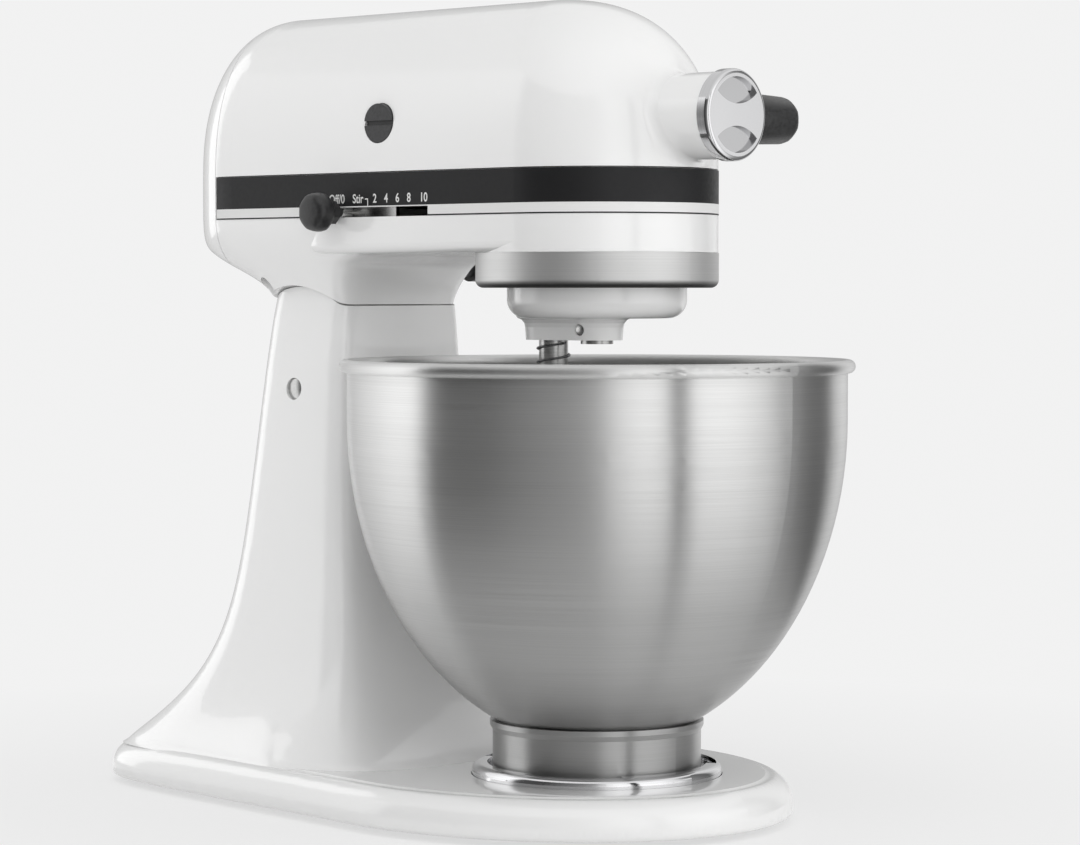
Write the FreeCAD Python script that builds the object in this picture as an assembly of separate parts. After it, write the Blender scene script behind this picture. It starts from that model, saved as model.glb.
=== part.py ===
import FreeCAD, Part
import math
import os

# A tilt-head stand mixer. Millimetres, +Z up, +X towards the nose, +Y to the mixer's own left.
# The origin is on the table, under the middle of the mixer's bounding box.

# Bowl
bowl_radius = 107.5
bowl_wall = 1.2
bowl_lift = 11.7
bowl_belly_depth = 141.0
bowl_wall_height = 23.0
rim_bead_radius = 2.9
rim_bead_offset = 0.4
dimple_radius = 16.0
dimple_height = 5.0
dimple_top_share = 0.5
foot_ring_radius = 45.0
foot_ring_wall = 1.5
foot_ring_lip = 1.1
foot_ring_lip_height = 2.2
foot_weld_gap = 0.15
lug_reach = 5.2
lug_thickness = 1.6
lug_angle = 40.0
lug_count = 3

# Stand
base_front_reach = 85.0
base_tail = 78.0
base_half_width = 100.0
base_widest_behind = 40.0
base_rear_taper = 0.225
base_edge_height = 3.0
base_top_height = 20.0
base_edge_round = 12.0
base_low_round = 1.8
base_front_power = 2.0
base_rear_power = 9.0
casting_wall = 5.5
column_gap = 7.2
column_depth = 54.0
column_half_width = 35.5
column_front_lean = 0.02
column_rear_lean = 0.15
column_side_lean = 0.05
column_shoulder_rear = 1.2
column_shoulder_side = 2.4
column_shoulder_depth = 15.0
flare_front = 54.0
flare_rear = 36.5
flare_side = 34.0
flare_height = 28.0
flare_curve = 1.15
flare_front_height = 22.0
flare_front_curve = 0.75
flare_sink = 1.8
flare_taper = 0.14
flare_front_power = 3.0
flare_rear_power = 9.0
column_front_power = 8.0
column_rear_power = 4.5
column_widest_share = 0.35
foot_pad_radius = 10.0
foot_pad_taper = 1.5
foot_stem_radius = 3.5
foot_stem_height = 6.0
foot_front_inset = 25.0
foot_side_inset = 24.0
foot_rear_inset = 30.0
foot_corner_inset = 28.0

# Bowl clamp
clamp_opening_gap = 2.3
clamp_notch_gap = 1.4
clamp_pan_gap = 2.3
clamp_sheet = 1.5
clamp_height = 6.8
clamp_sink = 2.0
clamp_roll = 3.4
clamp_notch_extra = 8.0
clamp_hole_radius = 18.0
clamp_screw_circle = 30.0
clamp_screw_count = 4
clamp_boss_rise = 4.0

# Hinge
hinge_room = 5.5
hinge_height = 183.5
hinge_pin_radius = 4.9
hinge_arc_radius = 46.0
hinge_pin_recess = 0.6
set_screw_recess = 6.0
height_screw_ahead = 18.0
height_screw_sink = 2.0
height_screw_length = 22.0
seam_gap = 0.6
seam_ledge_rise = 37.5
seam_ledge_ahead = 16.0
seam_fillet = 10.0
slot_half_width = 18.0
slot_depth = 36.0
slot_front_wall = 4.0
slot_rear_wall = 4.5
lug_arm_width = 7.5
lug_arm_gap = 1.4
lug_arm_root = 7.0
lug_eye_radius = 14.0
tilt_side_gap = 0.4

# Head
head_half_width = 52.0
crown_height = 73.8
band_height = 19.3
lower_side_height = 15.9
band_thickness = 1.2
band_proud = 0.2
band_rear_gap = 1.3
arch_power = 2.3
cover_lap = 12.8
nose_apex_behind = 20.0
head_wall = 3.0
lower_wall = 4.5
underside_rise = 23.0
underside_round = 4.5
floor_rise = 9.0
cover_gap = 0.4
neck_overlap = 9.0
neck_step = 0.06
neck_lean_share = 0.78
neck_lean_curve = 1.5
neck_front_power = 8.0
neck_rear_power = 4.5
neck_top_power = 2.0
tub_rear_ahead = 8.0
housing_screw_front_behind = 95.0
housing_screw_rear_ahead = 10.0
housing_screw_inset = 9.5
housing_screw_recess = 4.0
housing_screw_reach = 14.0
housing_post_radius = 5.0
cover_screw_inset = 11.0
cover_screw_recess = 5.0
cover_tab_length = 16.0
cover_tab_half_width = 9.0
cover_tab_thickness = 5.0
plug_gap = 12.5
plug_radius = 3.2
plug_drop = 4.0
plug_stem_radius = 2.2
plug_stem_length = 5.0
gland_inset = 16.0
gland_out = 24.0
gland_radius = 6.5
gland_bore_radius = 3.5
gland_flange = 2.0
gland_length = 14.0

# Planetary drive
drip_proud = 0.3
drip_height = 15.0
drip_sheet = 1.4
drip_round = 3.5
drip_opening_radius = 41.0
spigot_wall = 3.3
gear_case_roof_rise = 2.0
planetary_gap = 2.3
planetary_drop = 13.0
planetary_thickness = 16.0
planetary_round = 8.0
planetary_hub_radius = 10.0
planetary_hub_rise = 5.0
boss_drop = 9.5
boss_flare = 4.0
boss_draft = 0.4
boss_centre_radius = 11.0
boss_beater_radius = 12.0
beater_offset = 25.4
beater_shaft_radius = 6.35
beater_shaft_drop = 38.5
beater_tip_length = 2.0
beater_tip_taper = 1.2
beater_pilot_radius = 6.0
beater_pilot_length = 5.8
beater_pilot_step = 0.3
beater_top_reach = 0.5
centre_shaft_radius = 7.0
centre_shaft_drop = 1.6
centre_shaft_gap = 2.0
centre_bearing_wall = 6.0
roll_pin_radius = 2.4
roll_pin_hole_radius = 1.1
roll_pin_proud = 0.6
roll_pin_rise = 4.5
cross_pin_radius = 1.6
cross_pin_half_length = 11.0
cross_pin_rise = 10.0
spring_wire_radius = 0.8
spring_pitch = 6.0
spring_turns = 3
ring_teeth = 47
pinion_teeth = 15
ring_gear_face = 10.0
pinion_face = 8.0
pinion_lift = 1.0

# Gear train and motor
hub_axis_rise = 21.3
centre_gear_teeth = 36
drive_pinion_teeth = 12
train_module = 2.0
gear_pressure_angle = 20.0
gear_tip_share = 0.8
gear_root_share = 1.1
gear_backlash = 0.45
centre_gear_rise = 6.0
centre_gear_face = 8.0
wheel_radius = 16.5
wheel_face = 9.0
wheel_shaft_radius = 4.0
wheel_shaft_seat = 4.0
wheel_hub_radius = 9.0
worm_radius = 7.0
worm_length = 38.0
worm_groove_depth = 1.6
worm_groove_pitch = 6.0
bevel_radius = 16.0
bevel_face = 6.0
bevel_hub_radius = 11.2
mesh_gap = 0.35
motor_shaft_radius = 4.0
bracket_gap = 3.35
bracket_right = 22.0
bracket_left = 36.0
bracket_extra = 2.0
bracket_rise = 13.0
bracket_roof = 4.0
bracket_roof_half_width = 9.0
bracket_roof_ahead = 10.0
cradle_inset = 6.0
cradle_half_width = 16.0
bulkhead_half_width = 20.0
bulkhead_rise = 15.0
bulkhead_gap = 2.8
armature_radius = 19.0
armature_length = 56.0
armature_gap = 9.8
armature_slots = 12
armature_slot_width = 3.0
armature_slot_depth = 5.0
commutator_radius = 11.0
commutator_length = 17.0
commutator_gap = 3.2
fan_radius = 22.0
fan_thickness = 8.0
fan_disc_thickness = 1.5
fan_hub_radius = 8.0
fan_blade_thickness = 1.2
fan_gap = 11.0
fan_blades = 8
stator_radius = 36.0
stator_bore = 20.5
stator_length = 48.0
stator_flat = 28.0
winding_radius = 27.0
winding_clearance = 1.0
winding_reach = 9.0
bearing_radius = 11.0
bearing_length = 6.5
rear_bearing_gap = 4.5
brush_cap_radius = 8.5
brush_cap_depth = 6.0
brush_cap_inset = 0.5
brush_cap_slot = 2.0
brush_cap_slot_depth = 1.8
brush_bare_length = 3.0
brush_spring_wall = 0.7
brush_holder_radius = 6.5
brush_width = 5.0
brush_height = 6.0
brush_length = 14.0

# Attachment hub
hub_boss_radius = 18.2
hub_bore_radius = 15.9
hub_fillet = 6.0
hub_boss_front = 71.8
hub_boss_rear = 22.0
hub_bushing_length = 9.0
hub_shaft_radius = 6.0
hub_socket_radius = 9.5
hub_socket_length = 14.7
hub_socket_square = 8.2
hub_socket_depth = 12.0
hub_cap_radius = 19.2
hub_cap_thickness = 5.9
hub_cap_spigot_length = 9.0
hub_cap_recess = 2.2
hub_cap_bar_half_width = 4.6
hub_cap_lobe_radius = 19.0
hub_cap_round = 2.0
hub_cap_rim = 3.4
attachment_knob_setback = 12.8
attachment_knob_radius = 10.5
attachment_knob_collar = 9.6
attachment_knob_length = 19.0
attachment_stud_radius = 3.0

# Controls
speed_slot_rear_behind = 108.0
speed_slot_length = 57.4
speed_slot_height = 4.3
speed_rest_ahead = 6.1
speed_stem_radius = 1.8
speed_plate_rear = 8.0
speed_plate_front = 27.0
speed_plate_height = 12.0
speed_plate_thickness = 2.0
board_gap = 4.0
board_length = 26.0
board_inner = 12.0
board_outer = 31.0
board_thickness = 2.5
knob_radius = 8.8
knob_length = 11.0
knob_collar = 2.2
knob_sides = 8
knob_standoff = 2.6
knob_root_share = 0.62
knob_neck_share = 0.66
knob_shoulder_share = 0.98
knob_end_share = 0.72
knob_shoulder_at = 0.18
knob_chamfer_at = 0.74
lock_ahead = 20.0
lock_rise = 17.0
lock_shaft_radius = 4.0
lock_cam_radius = 6.5
lock_cam_reach = 9.5
lock_cam_width = 7.0
lock_cam_inner = 8.0
lock_cam_half_height = 3.0
lock_pocket_gap = 1.0
lock_arm_length = 24.0
lock_arm_thickness = 4.0
lock_arm_half_height = 3.0
lock_arm_gap = 1.0
lock_collar = 2.0
lock_knob_inset = 5.0
lock_knob_radius = 7.0
lock_knob_length = 8.0
lock_knob_collar = 1.5

# Fits
running_clearance = 0.05
seat_clearance = 0.1
loose_clearance = 0.3
screw_radius = 2.0
screw_head_radius = 3.8
screw_head_height = 2.0
screw_clearance = 0.15
screw_head_taper = 1.2

# Places worked out from the sizes above: the stand and the bowl
rim_outer_radius = bowl_radius + rim_bead_offset + rim_bead_radius
column_front_behind = rim_outer_radius + column_gap
column_rear_behind = column_front_behind + column_depth
base_rear_reach = column_rear_behind + base_tail
axis_x = (base_rear_reach - rim_outer_radius) / 2
column_top_front = axis_x - column_front_behind
column_top_rear = axis_x - column_rear_behind
clamp_floor = base_top_height - clamp_sink
foot_ring_bottom = clamp_floor + clamp_sheet + loose_clearance
lug_tip_radius = foot_ring_radius + lug_reach
clamp_opening_radius = foot_ring_radius + clamp_opening_gap
clamp_notch_radius = lug_tip_radius + clamp_notch_gap
clamp_radius = lug_tip_radius + clamp_pan_gap + clamp_sheet
bowl_belly_height = foot_ring_bottom + bowl_lift + bowl_belly_depth
bowl_rim_height = bowl_belly_height + bowl_wall_height
column_height = hinge_height + hinge_arc_radius - base_top_height
casting_top = base_top_height - casting_wall

# The hinge, and the lug's arm, which passes close behind the slot's front wall
hinge_x = column_top_rear + slot_rear_wall + lug_eye_radius + hinge_room
seam_ledge_height = hinge_height + seam_ledge_rise
slot_front = column_top_front - slot_front_wall
arm_front_ahead = slot_front - hinge_x - lug_arm_gap
arm_front_distance = math.hypot(arm_front_ahead, seam_ledge_rise)
lug_arm_angle = math.degrees(math.atan2(seam_ledge_rise, arm_front_ahead)
                             + math.asin(lug_arm_width / 2 / arm_front_distance))
lock_x = hinge_x + lock_ahead
lock_height = seam_ledge_height + lock_rise

# Levels of the head, from the seam upwards
underside_height = seam_ledge_height + underside_rise
floor_height = underside_height + floor_rise
band_bottom_height = underside_height + lower_side_height
band_top_height = band_bottom_height + band_height
arch_base = band_top_height + loose_clearance
head_top_height = band_top_height + crown_height
motor_z = band_top_height + hub_axis_rise
inner_half_width = head_half_width - lower_wall
speed_slot_bottom = band_bottom_height
speed_slot_top = speed_slot_bottom + speed_slot_height

# Levels of the planetary drive, from the head's underside downwards
drip_radius = head_half_width + drip_proud
drip_bottom_height = underside_height - drip_height
gear_case_roof_height = underside_height + gear_case_roof_rise
planetary_radius = drip_opening_radius - planetary_gap
planetary_bottom_height = drip_bottom_height - planetary_drop
planetary_top_height = planetary_bottom_height + planetary_thickness
boss_bottom_height = planetary_bottom_height - boss_drop
beater_shaft_bottom = boss_bottom_height - beater_shaft_drop
roll_pin_height = boss_bottom_height + roll_pin_rise
cross_pin_height = beater_shaft_bottom + cross_pin_rise
beater_x = axis_x - beater_offset
planet_module = 2 * beater_offset / (ring_teeth - pinion_teeth)

# The gear train and the motor, from the worm wheel backwards
centre_gear_bottom = floor_height + centre_gear_rise
train_distance = train_module * (centre_gear_teeth + drive_pinion_teeth) / 2
wheel_y = wheel_radius + worm_radius + mesh_gap
wheel_x = axis_x - math.sqrt(train_distance ** 2 - wheel_y ** 2)
bracket_front = wheel_x - wheel_radius - bracket_gap
bracket_rear = bracket_front - bearing_length - bracket_extra
commutator_front = bracket_rear - commutator_gap
commutator_rear = commutator_front - commutator_length
brush_x = (commutator_front + commutator_rear) / 2
core_front = commutator_rear - armature_gap
core_rear = core_front - armature_length
fan_front = core_rear - fan_gap
fan_rear = fan_front - fan_thickness
rear_bearing_end = fan_rear - rear_bearing_gap
rear_bearing_x = rear_bearing_end - bearing_length
cover_seam = rear_bearing_x - bulkhead_gap
rear_centre = cover_seam + cover_lap

# Lengths for cutting shapes: longer than the mixer, and the lap of one shape into the next
far = 400.0
lap = 1.0


def vec(x, y, z):
    return FreeCAD.Vector(x, y, z)


X = vec(1, 0, 0)
Y = vec(0, 1, 0)
Z = vec(0, 0, 1)


def rod(radius, start, end):
    """A round bar from one point to another."""
    run = end - start
    return Part.makeCylinder(radius, run.Length, start, run)


def tube(outer, inner, start, end):
    """A round bar with a bore right through it."""
    return rod(outer, start, end).cut(rod(inner, start, end))


def block(x0, x1, y0, y1, z0, z1):
    """A rectangular block between two corners."""
    return Part.makeBox(x1 - x0, y1 - y0, z1 - z0, vec(x0, y0, z0))


def cone(radius_start, radius_end, start, end):
    """A tapered round bar from one point to another."""
    run = end - start
    return Part.makeCone(radius_start, radius_end, run.Length, start, run)


def join(shapes):
    """Several overlapping shapes as one clean solid."""
    whole = shapes[0].fuse(shapes[1:])
    return whole.removeSplitter()


def spun(edges, centre):
    """A closed outline in the XZ plane, turned about the vertical line through centre."""
    face = Part.Face(Part.Wire(Part.sortEdges(edges)[0]))
    solid = face.revolve(vec(0, 0, 0), Z, 360)
    solid.translate(centre)
    return solid


def chain(points):
    """Straight edges through points of the XZ plane."""
    spots = [vec(r, 0, z) for r, z in points]
    return [Part.makeLine(a, b) for a, b in zip(spots, spots[1:])]


def bend(start, middle, end):
    """An arc in the XZ plane through three points."""
    return Part.Arc(*[vec(r, 0, z) for r, z in (start, middle, end)]).toShape()


def round_corner(corner, radius, sign_r, sign_z):
    """A quarter arc that rounds a corner of an outline; the signs point away from its centre."""
    r, z = corner
    centre_r = r - sign_r * radius
    centre_z = z - sign_z * radius
    half = radius * math.sqrt(0.5)
    return bend((centre_r, z), (centre_r + sign_r * half, centre_z + sign_z * half), (r, centre_z))


def plan_loop(height, front, rear, half_width, widest, front_power, rear_power, taper):
    """A smooth closed outline at one height, fuller or boxier with the power, narrowing to the rear."""
    count = 40
    points = []
    for step in range(count):
        turn = 2 * math.pi * step / count
        along = math.cos(turn)
        across = math.sin(turn)
        power = front_power if along >= 0 else rear_power
        size = (abs(along) ** power + abs(across) ** power) ** (1 / power)
        reach = abs(along) / size
        spread = abs(across) / size
        narrowing = 1 - taper * reach if along < 0 else 1
        length = front - widest if along >= 0 else rear - widest
        y = math.copysign(half_width * spread * narrowing, across)
        points.append(vec(widest + length * reach, y, height))
    curve = Part.BSplineCurve()
    places = [step / count for step in range(count + 1)]
    curve.interpolate(Points=points, PeriodicFlag=True, Parameters=places)
    return Part.Wire(curve.toShape())


def stadium_wire(height, rear_centre, front_centre, radius):
    """Two half circles joined by straight sides, at one height."""
    left_rear = vec(rear_centre, radius, height)
    right_rear = vec(rear_centre, -radius, height)
    left_front = vec(front_centre, radius, height)
    right_front = vec(front_centre, -radius, height)
    nose = vec(front_centre + radius, 0, height)
    tail = vec(rear_centre - radius, 0, height)
    return Part.Wire([
        Part.makeLine(right_rear, right_front),
        Part.Arc(right_front, nose, left_front).toShape(),
        Part.makeLine(left_front, left_rear),
        Part.Arc(left_rear, tail, right_rear).toShape(),
    ])


def stadium(bottom, top, rear_centre, front_centre, radius):
    """An upright prism on a stadium outline."""
    face = Part.Face(stadium_wire(bottom, rear_centre, front_centre, radius))
    return face.extrude(vec(0, 0, top - bottom))


def save(name, shape):
    """Writes one named piece."""
    shape.exportStep("parts/" + name + ".step")


os.makedirs("parts", exist_ok=True)


# Pedestal casting: a slab with a rounded edge, and a column that flares into it

def slab(inset, bottom, top, edge_round):
    """The base slab, drawn in by inset, with its lower and upper edges rounded."""
    levels = []
    for degrees in (0, 45, 90):
        turn = math.radians(degrees)
        draw_in = base_low_round * (1 - math.sin(turn))
        levels.append((bottom + base_low_round * (1 - math.cos(turn)), draw_in))
    levels.append(((bottom + base_low_round + top - edge_round) / 2, 0.0))
    for degrees in (0, 18, 36, 54, 72, 90):
        turn = math.radians(degrees)
        draw_in = edge_round * (1 - math.cos(turn))
        levels.append((top - edge_round * (1 - math.sin(turn)), draw_in))
    widest = axis_x - base_widest_behind
    loops = []
    for height, draw_in in levels:
        pull = inset + draw_in
        front = axis_x + base_front_reach - pull
        rear = axis_x - base_rear_reach + pull
        loops.append(plan_loop(height, front, rear, base_half_width - pull, widest,
                               base_front_power, base_rear_power, base_rear_taper))
    return Part.makeLoft(loops, True, False)


def column_shoulder(drop):
    """How much of the column's shoulder is reached at a depth below its top, from 0 to 1."""
    return 1 - math.exp(-drop / column_shoulder_depth)


def column_half(drop):
    """Half the column's width at a depth below its top, without the flare."""
    return column_half_width + column_side_lean * drop + column_shoulder_side * column_shoulder(drop)


def column(inset, bottom, top):
    """The column, drawn in by inset, with concave flares down to the slab."""
    loops = []
    steps = 16
    for step in range(steps + 1):
        height = bottom + (step / steps) ** 2 * (top - bottom)
        rise = height + inset - base_top_height
        drop = max(base_top_height + column_height - height, 0)
        sink = max(min(rise, 0), -flare_sink)
        flare = math.exp(-(max(rise, 0) / flare_height) ** flare_curve - sink / flare_height)
        spread = math.exp(-(max(rise, 0) / flare_front_height) ** flare_front_curve)
        front = column_top_front + column_front_lean * drop + flare_front * spread - inset
        rear = column_top_rear - column_rear_lean * drop - flare_rear * flare + inset
        rear -= column_shoulder_rear * column_shoulder(drop)
        half_width = column_half(drop) + flare_side * flare - inset
        widest = front + column_widest_share * (rear - front)
        front_power = column_front_power + (flare_front_power - column_front_power) * spread
        rear_power = column_rear_power + (flare_rear_power - column_rear_power) * flare
        taper = flare_taper * flare
        loops.append(plan_loop(height, front, rear, half_width, widest, front_power, rear_power, taper))
    return Part.makeLoft(loops, True, False)


def seam_body(gap):
    """All below the seam: an arc about the hinge, a flat ledge ahead of it and a fillet between them."""
    radius = hinge_arc_radius + gap
    ledge = seam_ledge_height + gap
    rounding = seam_fillet - gap
    centre_z = ledge + rounding
    centre_x = hinge_x + math.sqrt((radius + rounding) ** 2 - (centre_z - hinge_height) ** 2)
    toward = (vec(hinge_x, 0, hinge_height) - vec(centre_x, 0, centre_z)).normalize()
    corner_x = hinge_x + math.sqrt(radius ** 2 - (ledge - hinge_height) ** 2)
    corners = [
        vec(centre_x, -far, centre_z) + toward * rounding,
        vec(corner_x, -far, ledge),
        vec(centre_x, -far, ledge),
    ]
    wedge = Part.Face(Part.makePolygon(corners + corners[:1])).extrude(vec(0, 2 * far, 0))
    wedge = wedge.cut(rod(rounding, vec(centre_x, -far, centre_z), vec(centre_x, far, centre_z)))
    return join([
        rod(radius, vec(hinge_x, -far, hinge_height), vec(hinge_x, far, hinge_height)),
        block(hinge_x + seam_ledge_ahead, far, -far, far, 0, ledge),
        wedge,
    ])


column_keep = join([seam_body(0), block(-far, far, -far, far, 0, hinge_height)])
column_solid = column(0, base_top_height - flare_sink, hinge_height + hinge_arc_radius + lap)
column_solid = column_solid.common(column_keep)
pedestal_skin = slab(0, base_edge_height, base_top_height, base_edge_round).fuse(column_solid)

slab_hollow = slab(casting_wall, base_edge_height - lap, casting_top, base_edge_round - casting_wall)
column_hollow = column(casting_wall, casting_top - lap, hinge_height - slot_depth)
pedestal = pedestal_skin.cut(slab_hollow).cut(column_hollow)

slot = block(column_top_rear + slot_rear_wall, slot_front, -slot_half_width, slot_half_width,
             hinge_height - slot_depth - lap, far)
pedestal = pedestal.cut(slot)

foot_spots = [(axis_x + base_front_reach - foot_front_inset, 0)]
for side in (1, -1):
    foot_spots.append((axis_x - base_widest_behind, side * (base_half_width - foot_side_inset)))
for side in (1, -1):
    corner_out = base_half_width * (1 - base_rear_taper) - foot_corner_inset
    foot_spots.append((axis_x - base_rear_reach + foot_rear_inset, side * corner_out))
foot_bosses = []
for x, y in foot_spots:
    foot_boss = rod(foot_pad_radius, vec(x, y, base_edge_height), vec(x, y, hinge_height))
    foot_bosses.append(foot_boss.common(pedestal_skin))
clamp_screw_spots = []
for number in range(clamp_screw_count):
    turn = 2 * math.pi * (number + 0.5) / clamp_screw_count
    along = clamp_screw_circle * math.cos(turn)
    clamp_screw_spots.append((axis_x + along, clamp_screw_circle * math.sin(turn)))
screw_boss_bottom = base_edge_height + clamp_boss_rise
screw_bosses = [rod(2 * screw_radius, vec(x, y, screw_boss_bottom), vec(x, y, casting_top + lap))
                for x, y in clamp_screw_spots]
pedestal = pedestal.fuse(foot_bosses + screw_bosses)

cuts = [rod(clamp_radius + loose_clearance, vec(axis_x, 0, clamp_floor), vec(axis_x, 0, far))]
cuts += [rod(screw_radius + screw_clearance, vec(x, y, screw_boss_bottom - lap), vec(x, y, far))
         for x, y in clamp_screw_spots]
cuts += [rod(foot_stem_radius + seat_clearance, vec(x, y, 0),
             vec(x, y, base_edge_height + foot_stem_height + loose_clearance)) for x, y in foot_spots]
hinge_drop = column_height + base_top_height - hinge_height
pin_reach = column_half(hinge_drop) - hinge_pin_recess
cuts.append(rod(hinge_pin_radius + running_clearance, vec(hinge_x, -far, hinge_height),
                vec(hinge_x, far, hinge_height)))
set_screw_y = (slot_half_width + column_half_width) / 2
set_screw_rear = column_top_rear - column_rear_lean * hinge_arc_radius + set_screw_recess
set_screw_rear -= column_shoulder_rear
cuts.append(rod(screw_radius + screw_clearance, vec(-far, set_screw_y, hinge_height),
                vec(hinge_x, set_screw_y, hinge_height)))
height_screw_x = hinge_x + height_screw_ahead
height_screw_top = seam_ledge_height - height_screw_sink
height_screw_neck = height_screw_top - screw_head_height
height_screw_bottom = height_screw_top - height_screw_length
height_screw_y = -set_screw_y
cuts.append(rod(screw_radius + screw_clearance,
                vec(height_screw_x, height_screw_y, height_screw_bottom - lap),
                vec(height_screw_x, height_screw_y, far)))
cuts.append(rod(screw_head_radius + loose_clearance, vec(height_screw_x, height_screw_y, height_screw_neck),
                vec(height_screw_x, height_screw_y, far)))
pedestal = pedestal.cut(cuts[0].fuse(cuts[1:])).removeSplitter()
save("pedestal", pedestal)

feet = []
for x, y in foot_spots:
    pad = cone(foot_pad_radius - foot_pad_taper, foot_pad_radius, vec(x, y, 0), vec(x, y, base_edge_height))
    stem = rod(foot_stem_radius, vec(x, y, base_edge_height - lap),
               vec(x, y, base_edge_height + foot_stem_height))
    feet.append(pad.fuse(stem).removeSplitter())
save("rubber_feet", Part.makeCompound(feet))

hinge_pin = rod(hinge_pin_radius, vec(hinge_x, -pin_reach, hinge_height),
                vec(hinge_x, pin_reach, hinge_height))
save("hinge_pin", hinge_pin)
save("hinge_set_screw", rod(screw_radius, vec(set_screw_rear, set_screw_y, hinge_height),
                            vec(hinge_x - hinge_pin_radius - loose_clearance, set_screw_y, hinge_height)))
height_screw = join([
    rod(screw_radius, vec(height_screw_x, height_screw_y, height_screw_bottom),
        vec(height_screw_x, height_screw_y, height_screw_top - lap)),
    rod(screw_head_radius, vec(height_screw_x, height_screw_y, height_screw_neck),
        vec(height_screw_x, height_screw_y, height_screw_top)),
])
save("height_adjusting_screw", height_screw)


# Bowl clamp: a pressed pan with a rolled lip that the bowl's lugs turn under

clamp_top = clamp_floor + clamp_height
lip_inner_top = clamp_top - clamp_sheet
wall_inner = clamp_radius - clamp_sheet
inner_roll = clamp_roll - clamp_sheet
pan_edges = chain([
    (clamp_hole_radius, clamp_floor),
    (clamp_radius, clamp_floor),
    (clamp_radius, clamp_top - clamp_roll),
])
pan_edges.append(round_corner((clamp_radius, clamp_top), clamp_roll, 1, 1))
pan_edges += chain([
    (clamp_radius - clamp_roll, clamp_top),
    (clamp_opening_radius, clamp_top),
    (clamp_opening_radius, lip_inner_top),
    (wall_inner - inner_roll, lip_inner_top),
])
pan_edges.append(round_corner((wall_inner, lip_inner_top), inner_roll, 1, 1))
pan_edges += chain([
    (wall_inner, lip_inner_top - inner_roll),
    (wall_inner, clamp_floor + clamp_sheet),
    (clamp_hole_radius, clamp_floor + clamp_sheet),
    (clamp_hole_radius, clamp_floor),
])
bowl_foot_centre = vec(axis_x, 0, 0)
clamp_plate = spun(pan_edges, bowl_foot_centre)


def sector(radius, bottom, top, middle_angle, angle):
    """A slice of a disc about the bowl's axis."""
    slice_solid = Part.makeCylinder(radius, top - bottom, vec(0, 0, bottom), Z, angle)
    slice_solid.rotate(vec(0, 0, 0), Z, middle_angle - angle / 2)
    slice_solid.translate(vec(axis_x, 0, 0))
    return slice_solid


notch_angle = lug_angle + clamp_notch_extra
lug_turns = [360 * number / lug_count for number in range(lug_count)]
half_pitch = 180 / lug_count
notches = [sector(clamp_notch_radius, lip_inner_top - lap, clamp_top + lap, turn + half_pitch, notch_angle)
           for turn in lug_turns]
screw_holes = [rod(screw_radius + screw_clearance, vec(x, y, 0), vec(x, y, clamp_top))
               for x, y in clamp_screw_spots]
clamp_plate = clamp_plate.cut(notches[0].fuse(notches[1:] + screw_holes))
save("bowl_clamp_plate", clamp_plate)

pan_floor = clamp_floor + clamp_sheet
clamp_screws = []
for x, y in clamp_screw_spots:
    shank = rod(screw_radius, vec(x, y, screw_boss_bottom), vec(x, y, pan_floor + lap))
    head = cone(screw_head_radius, screw_head_radius - screw_head_taper,
                vec(x, y, pan_floor), vec(x, y, pan_floor + screw_head_height))
    clamp_screws.append(join([shank, head]))
save("clamp_plate_screws", Part.makeCompound(clamp_screws))


# Bowl: a deep-drawn shell with a rolled rim and a dimple, welded to a foot ring

def belly(radius, depth):
    """The lower quarter ellipse of the bowl from the dimple's edge to the straight wall."""
    ellipse = Part.Ellipse(vec(0, 0, bowl_belly_height - depth), vec(radius, 0, bowl_belly_height),
                           vec(0, 0, bowl_belly_height))
    start = math.asin(dimple_radius / radius)
    return Part.ArcOfEllipse(ellipse, start, math.pi / 2).toShape()


def belly_height(radius, depth, at_radius):
    """The height of that ellipse at a distance from the axis."""
    return bowl_belly_height - depth * math.sqrt(1 - (at_radius / radius) ** 2)


inner_radius = bowl_radius - bowl_wall
inner_depth = bowl_belly_depth - bowl_wall
dimple_outer = belly_height(bowl_radius, bowl_belly_depth, dimple_radius)
dimple_inner = belly_height(inner_radius, inner_depth, dimple_radius)


def dimple(edge_height):
    """The dimple's sloped side and flat top, from its edge to the axis."""
    top = edge_height + dimple_height
    return chain([(dimple_radius, edge_height), (dimple_radius * dimple_top_share, top), (0, top)])


bowl_edges = [belly(bowl_radius, bowl_belly_depth), belly(inner_radius, inner_depth)]
bowl_edges += dimple(dimple_outer) + dimple(dimple_inner)
bowl_edges += chain([(bowl_radius, bowl_belly_height), (bowl_radius, bowl_rim_height),
                     (inner_radius, bowl_rim_height), (inner_radius, bowl_belly_height)])
bowl_edges += chain([(0, dimple_outer + dimple_height), (0, dimple_inner + dimple_height)])
bowl_shell = spun(bowl_edges, bowl_foot_centre)
rim_centre = vec(axis_x, 0, bowl_rim_height)
rim_bead = Part.makeTorus(bowl_radius + rim_bead_offset, rim_bead_radius, rim_centre, Z)
bowl = bowl_shell.fuse(rim_bead).removeSplitter()
save("bowl", bowl)

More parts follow.
